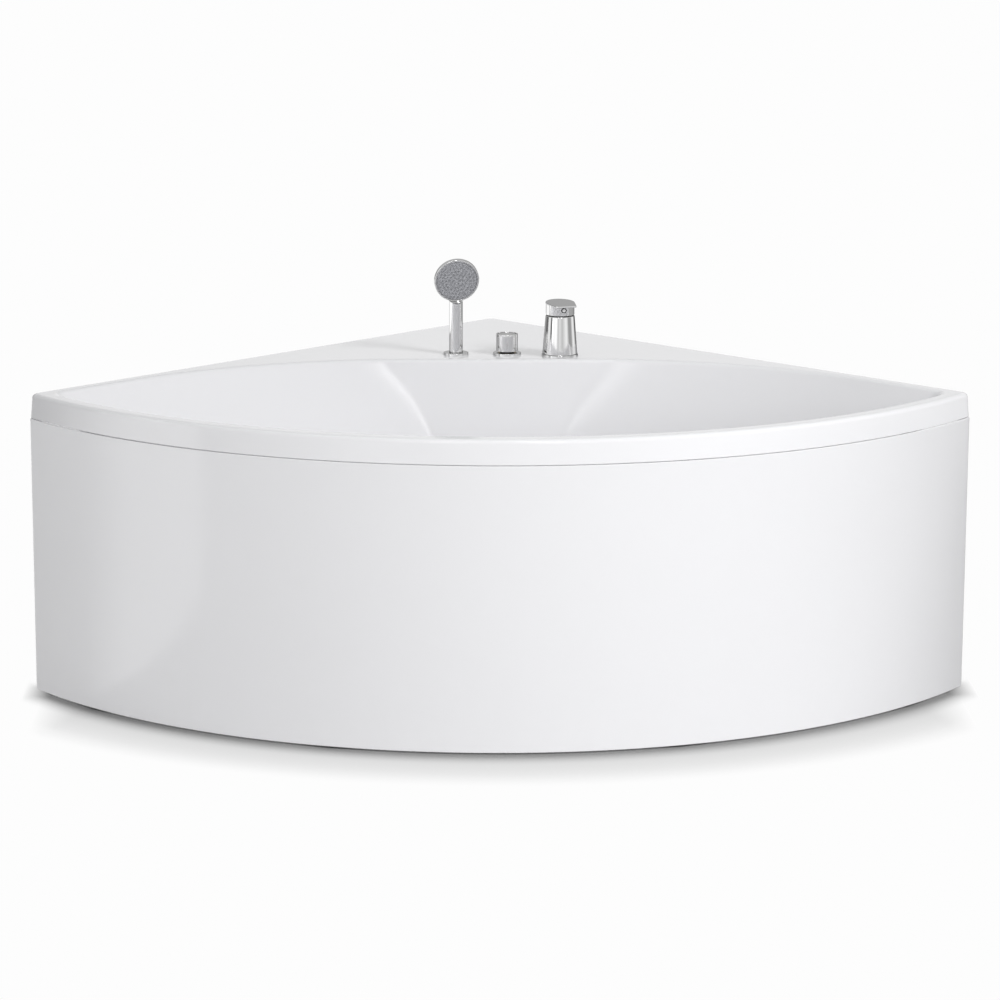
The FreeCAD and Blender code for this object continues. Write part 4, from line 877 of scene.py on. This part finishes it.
CLOSE_REACH, WIDE_REACH, OPENNESS_RAYS = 0.08, 0.22, {"samples": 16}
CLOSE_SHADE = (
    (0.50, 0.0), (0.60, 0.09), (0.65, 0.25), (0.70, 0.44), (0.77, 0.63), (0.84, 0.77), (0.95, 1.0),
)
WIDE_SHADE = (0.56, 0.60), (0.70, 0.66), (0.80, 0.72), (0.90, 0.80), (1.0, 1.0)
paper = bpy.data.materials.new("studio_paper")
paper.use_nodes = True
tree = paper.node_tree
tree.nodes.clear()
near = add(tree, "ShaderNodeAmbientOcclusion", settings=OPENNESS_RAYS, Distance=CLOSE_REACH)
close = grey_steps(add(tree, "ShaderNodeValToRGB", near.outputs["AO"]), CLOSE_SHADE)
around = add(tree, "ShaderNodeAmbientOcclusion", settings=OPENNESS_RAYS, Distance=WIDE_REACH)
wide = grey_steps(add(tree, "ShaderNodeValToRGB", around.outputs["AO"]), WIDE_SHADE)
print("shade reaches", CLOSE_REACH, "and", WIDE_REACH, "m")

# %% [markdown]
# In the photograph the soft shade thins out before the tub's two ends, and beside them the paper is
# clear. Both are masks across the floor, from the distance to the tub's middle line.

# %% Clear paper beside the ends
WIDE_CLEARS, ALL_CLEARS = (0.72, 0.95), (0.93, 0.99)
here = add(tree, "ShaderNodeTexCoord")
across = add(tree, "ShaderNodeSeparateXYZ", here.outputs["Object"])
sideways = add(tree, "ShaderNodeMath", across.outputs["X"], settings={"operation": "ABSOLUTE"})
beside, outside_ends = (
    add(tree, "ShaderNodeMapRange", sideways.outputs[0], From_Min=low, From_Max=high)
    for low, high in (WIDE_CLEARS, ALL_CLEARS)
)
cleared = add(tree, "ShaderNodeMath", wide, beside.outputs["Result"],
              settings={"operation": "MAXIMUM"})
both = add(tree, "ShaderNodeMath", close, cleared.outputs[0], settings={"operation": "MULTIPLY"})
fade = add(tree, "ShaderNodeMath", both.outputs[0], outside_ends.outputs["Result"],
           settings={"operation": "MAXIMUM"})
print("paper is clear from", ALL_CLEARS[1], "m beside the middle line")

# %% [markdown]
# Three kinds of rays see three floors: the camera the shaded paper, light that spreads from it plain
# matt paper, and mirror images a grade from bright on the left to dark on the right, which gives the
# lower part of the apron its change of tone.

# %% What each ray sees of the floor
GRADE_FROM, GRADE_TO, GRADE_LEFT, GRADE_RIGHT = -2.6, 2.6, 1.25, 0.42
grade = add(tree, "ShaderNodeMapRange", across.outputs["X"], From_Min=GRADE_FROM,
            From_Max=GRADE_TO, To_Min=GRADE_LEFT, To_Max=GRADE_RIGHT)
mirror_floor = add(tree, "ShaderNodeEmission", Strength=grade.outputs["Result"])
plain = add(tree, "ShaderNodeBsdfDiffuse", Color=PAPER_LIT)
shaded = add(tree, "ShaderNodeBsdfDiffuse", Color=PAPER_SHADED)
white = add(tree, "ShaderNodeEmission", Color=PAPER_WHITE, Strength=1.0)
ray = add(tree, "ShaderNodeLightPath")
for_light = add(tree, "ShaderNodeMixShader", ray.outputs["Is Glossy Ray"], plain.outputs[0],
                mirror_floor.outputs[0])
for_camera = add(tree, "ShaderNodeMixShader", fade.outputs[0], shaded.outputs[0],
                 white.outputs[0])
seen = add(tree, "ShaderNodeMixShader", ray.outputs["Is Camera Ray"], for_light.outputs[0],
           for_camera.outputs[0])
add(tree, "ShaderNodeOutputMaterial", seen.outputs[0])
floor.data.materials.append(paper)
print("paper has", len(tree.nodes), "nodes")

# %% [markdown]
# The surround is white to the camera. Mirror images see a studio in it instead: round the horizon a
# ring of windows and dark gaps, which the chrome shows clearly, and overhead a grey ceiling with two
# narrow bright strips, which draw the light lines in the basin's two creases. Each entry below is a
# direction in degrees, turning from the camera's side to the right, and a brightness.

# %% Ring and strips
RING = (
    (-180, 1.0), (-150, 0.6), (-120, 0.15), (-104, 0.15), (-99, 1.0), (-80, 0.9), (-73, 0.12),
    (-66, 0.2), (-55, 1.1), (-28, 1.2), (-16, 0.62), (-4, 0.85), (14, 0.6), (44, 1.0), (56, 0.75),
    (64, 0.36), (86, 0.36), (102, 0.95), (118, 1.0), (132, 0.2), (152, 0.15), (162, 0.6), (180, 1.0),
)
STRIPS = (
    (-180, 0.55), (-18, 0.55), (-15, 3.5), (-12, 3.5), (-10, 0.55), (8, 0.55), (10, 6.0), (12, 6.0),
    (16, 0.55), (180, 0.55),
)
RING_TOP, STRIPS_LOW = 0.24, 0.36
world = bpy.data.worlds.new("studio_surround")
bpy.context.scene.world = world
world.use_nodes = True
tree = world.node_tree
tree.nodes.clear()
sight = add(tree, "ShaderNodeTexCoord")
split = add(tree, "ShaderNodeSeparateXYZ", sight.outputs["Generated"])
toward = add(tree, "ShaderNodeMath", split.outputs["Y"], -1.0, settings={"operation": "MULTIPLY"})
angle = add(tree, "ShaderNodeMath", split.outputs["X"], toward.outputs[0],
            settings={"operation": "ARCTAN2"})
turn = add(tree, "ShaderNodeMapRange", angle.outputs[0], From_Min=-math.pi, From_Max=math.pi)
ring, strips = (
    grey_steps(add(tree, "ShaderNodeValToRGB", turn.outputs["Result"]),
               [((degrees + 180) / 360, grey) for degrees, grey in table])
    for table in (RING, STRIPS)
)
height = add(tree, "ShaderNodeMapRange", split.outputs["Z"], From_Min=RING_TOP, From_Max=STRIPS_LOW)
room = add(tree, "ShaderNodeMixRGB", height.outputs["Result"], ring, strips)
print("ring steps", len(RING), "strip steps", len(STRIPS))

# %% [markdown]
# What lights the tub from all round is neither of these, but a soft even grey, a little brighter
# near the horizon than overhead.

# %% What each ray sees of the surround
LOW_LIGHT, HIGH_LIGHT = (0.05, 0.80), (0.75, 0.48)
ceiling = add(tree, "ShaderNodeMapRange", split.outputs["Z"], From_Min=LOW_LIGHT[0],
              From_Max=HIGH_LIGHT[0], To_Min=LOW_LIGHT[1], To_Max=HIGH_LIGHT[1])
light = add(tree, "ShaderNodeBackground", Color=(1, 1, 1, 1), Strength=ceiling.outputs["Result"])
mirror_room = add(tree, "ShaderNodeBackground", room.outputs["Color"], Strength=1.0)
white = add(tree, "ShaderNodeBackground", Color=PAPER_WHITE, Strength=1.0)
ray = add(tree, "ShaderNodeLightPath")
for_light = add(tree, "ShaderNodeMixShader", ray.outputs["Is Glossy Ray"], light.outputs[0],
                mirror_room.outputs[0])
seen = add(tree, "ShaderNodeMixShader", ray.outputs["Is Camera Ray"], for_light.outputs[0],
           white.outputs[0])
add(tree, "ShaderNodeOutputWorld", seen.outputs[0])
print("surround has", len(tree.nodes), "nodes")


# %% [markdown]
# Three lamps: a large softbox from the front right, which lights the left back rest more than the
# right one, a low wide one from the left that fills the front, and a narrow soft spot on the right
# half of the apron. Mirror images don't see them, so none shows as a patch on the rim or the deck.

# %% Lamps
def aimed(kind, name, location, target, power):
    """A lamp that points at its target, and that mirror images don't see."""
    bpy.ops.object.light_add(type=kind, location=location)
    lamp = bpy.context.object
    lamp.name = name
    lamp.data.energy = power
    lamp.rotation_euler = (Vector(target) - Vector(location)).to_track_quat("-Z", "Y").to_euler()
    lamp.visible_glossy = False
    print(name, power, "W")
    return lamp.data


KEY_SIDE, FILL_SIDES, SPOT_DEGREES, SPOT_SOFT_R = 1.6, (1.2, 0.4), 20, 0.35
key = aimed("AREA", "upper_right_softbox", (3.8, -2.6, 3.9), (-0.2, -0.1, 0.5), 152)
key.shape, key.size, key.size_y = "RECTANGLE", KEY_SIDE, KEY_SIDE
fill = aimed("AREA", "low_front_fill", (-1.9, -3.9, 0.32), (-0.3, -0.6, 0.30), 20)
fill.shape, fill.size, fill.size_y = "RECTANGLE", *FILL_SIDES
spot = aimed("SPOT", "apron_spot", (1.6, -5.4, 1.5), (0.42, -0.62, 0.30), 93)
spot.spot_size, spot.spot_blend = math.radians(SPOT_DEGREES), 1.0
spot.shadow_soft_size = SPOT_SOFT_R
bpy.context.scene.view_settings.view_transform = "Standard"

# %% [markdown]
# Three panels stand round the tub, and the camera doesn't see them. Two dark flags take light from
# the ends of the apron and from the right back rest. A softbox stands aslant before the left end,
# and only mirror images see it: it draws the upright line in the gloss at the left of the apron.

# %% Finishes of the panels
GLOW_FAR, GLOW_NEAR = (-1.06, 2.1), (-0.94, 1.25)
FELT = new_finish("studio_flag_felt", Base_Color=linear("#101010"), Roughness=1.0)[0]
GLOW, tree, bsdf = new_finish(
    "studio_softbox_glow", Base_Color=linear("#101010"), Emission_Color=(1, 1, 1, 1)
)
on_box = add(tree, "ShaderNodeTexCoord")
along_box = add(tree, "ShaderNodeSeparateXYZ", on_box.outputs["Object"])
glow = add(tree, "ShaderNodeMapRange", along_box.outputs["X"], From_Min=GLOW_FAR[0],
           From_Max=GLOW_NEAR[0], To_Min=GLOW_FAR[1], To_Max=GLOW_NEAR[1])
tree.links.new(glow.outputs["Result"], bsdf.inputs["Emission Strength"])
print("panel finishes", FELT.name, GLOW.name)


# %% Panels
def panel(name, start, end, low, high, finish):
    """An upright panel on the line from start to end, given in plan."""
    bpy.ops.object.select_all(action="DESELECT")
    bpy.ops.mesh.primitive_plane_add(size=1.0)
    board = bpy.context.object
    board.name = name
    along = Vector(end) - Vector(start)
    middle = (Vector(start) + Vector(end)) / 2
    board.data.transform(
        Matrix.Translation((middle.x, middle.y, (low + high) / 2))
        @ Matrix.Rotation(math.atan2(along.y, along.x), 4, "Z")
        @ Matrix.Rotation(math.radians(90), 4, "X") @ Matrix.Diagonal((along.length, high - low, 1, 1))
    )
    board.data.materials.append(finish)
    board.visible_camera = False
    print(name, round(along.length, 2), "m wide")
    return board


right_flag = panel("studio_right_flag", (1.315, -0.046), (1.925, -1.194), 0.255, 1.105, FELT)
left_flag = panel("studio_left_flag", (-1.45, 0.20), (-1.75, -0.45), 0.255, 0.9, FELT)
right_flag.visible_glossy = left_flag.visible_glossy = False
low_box = panel("studio_low_softbox", (-0.935, -0.378), (-1.72, -1.12), 0.005, 1.0, GLOW)
low_box.visible_diffuse = low_box.visible_shadow = False
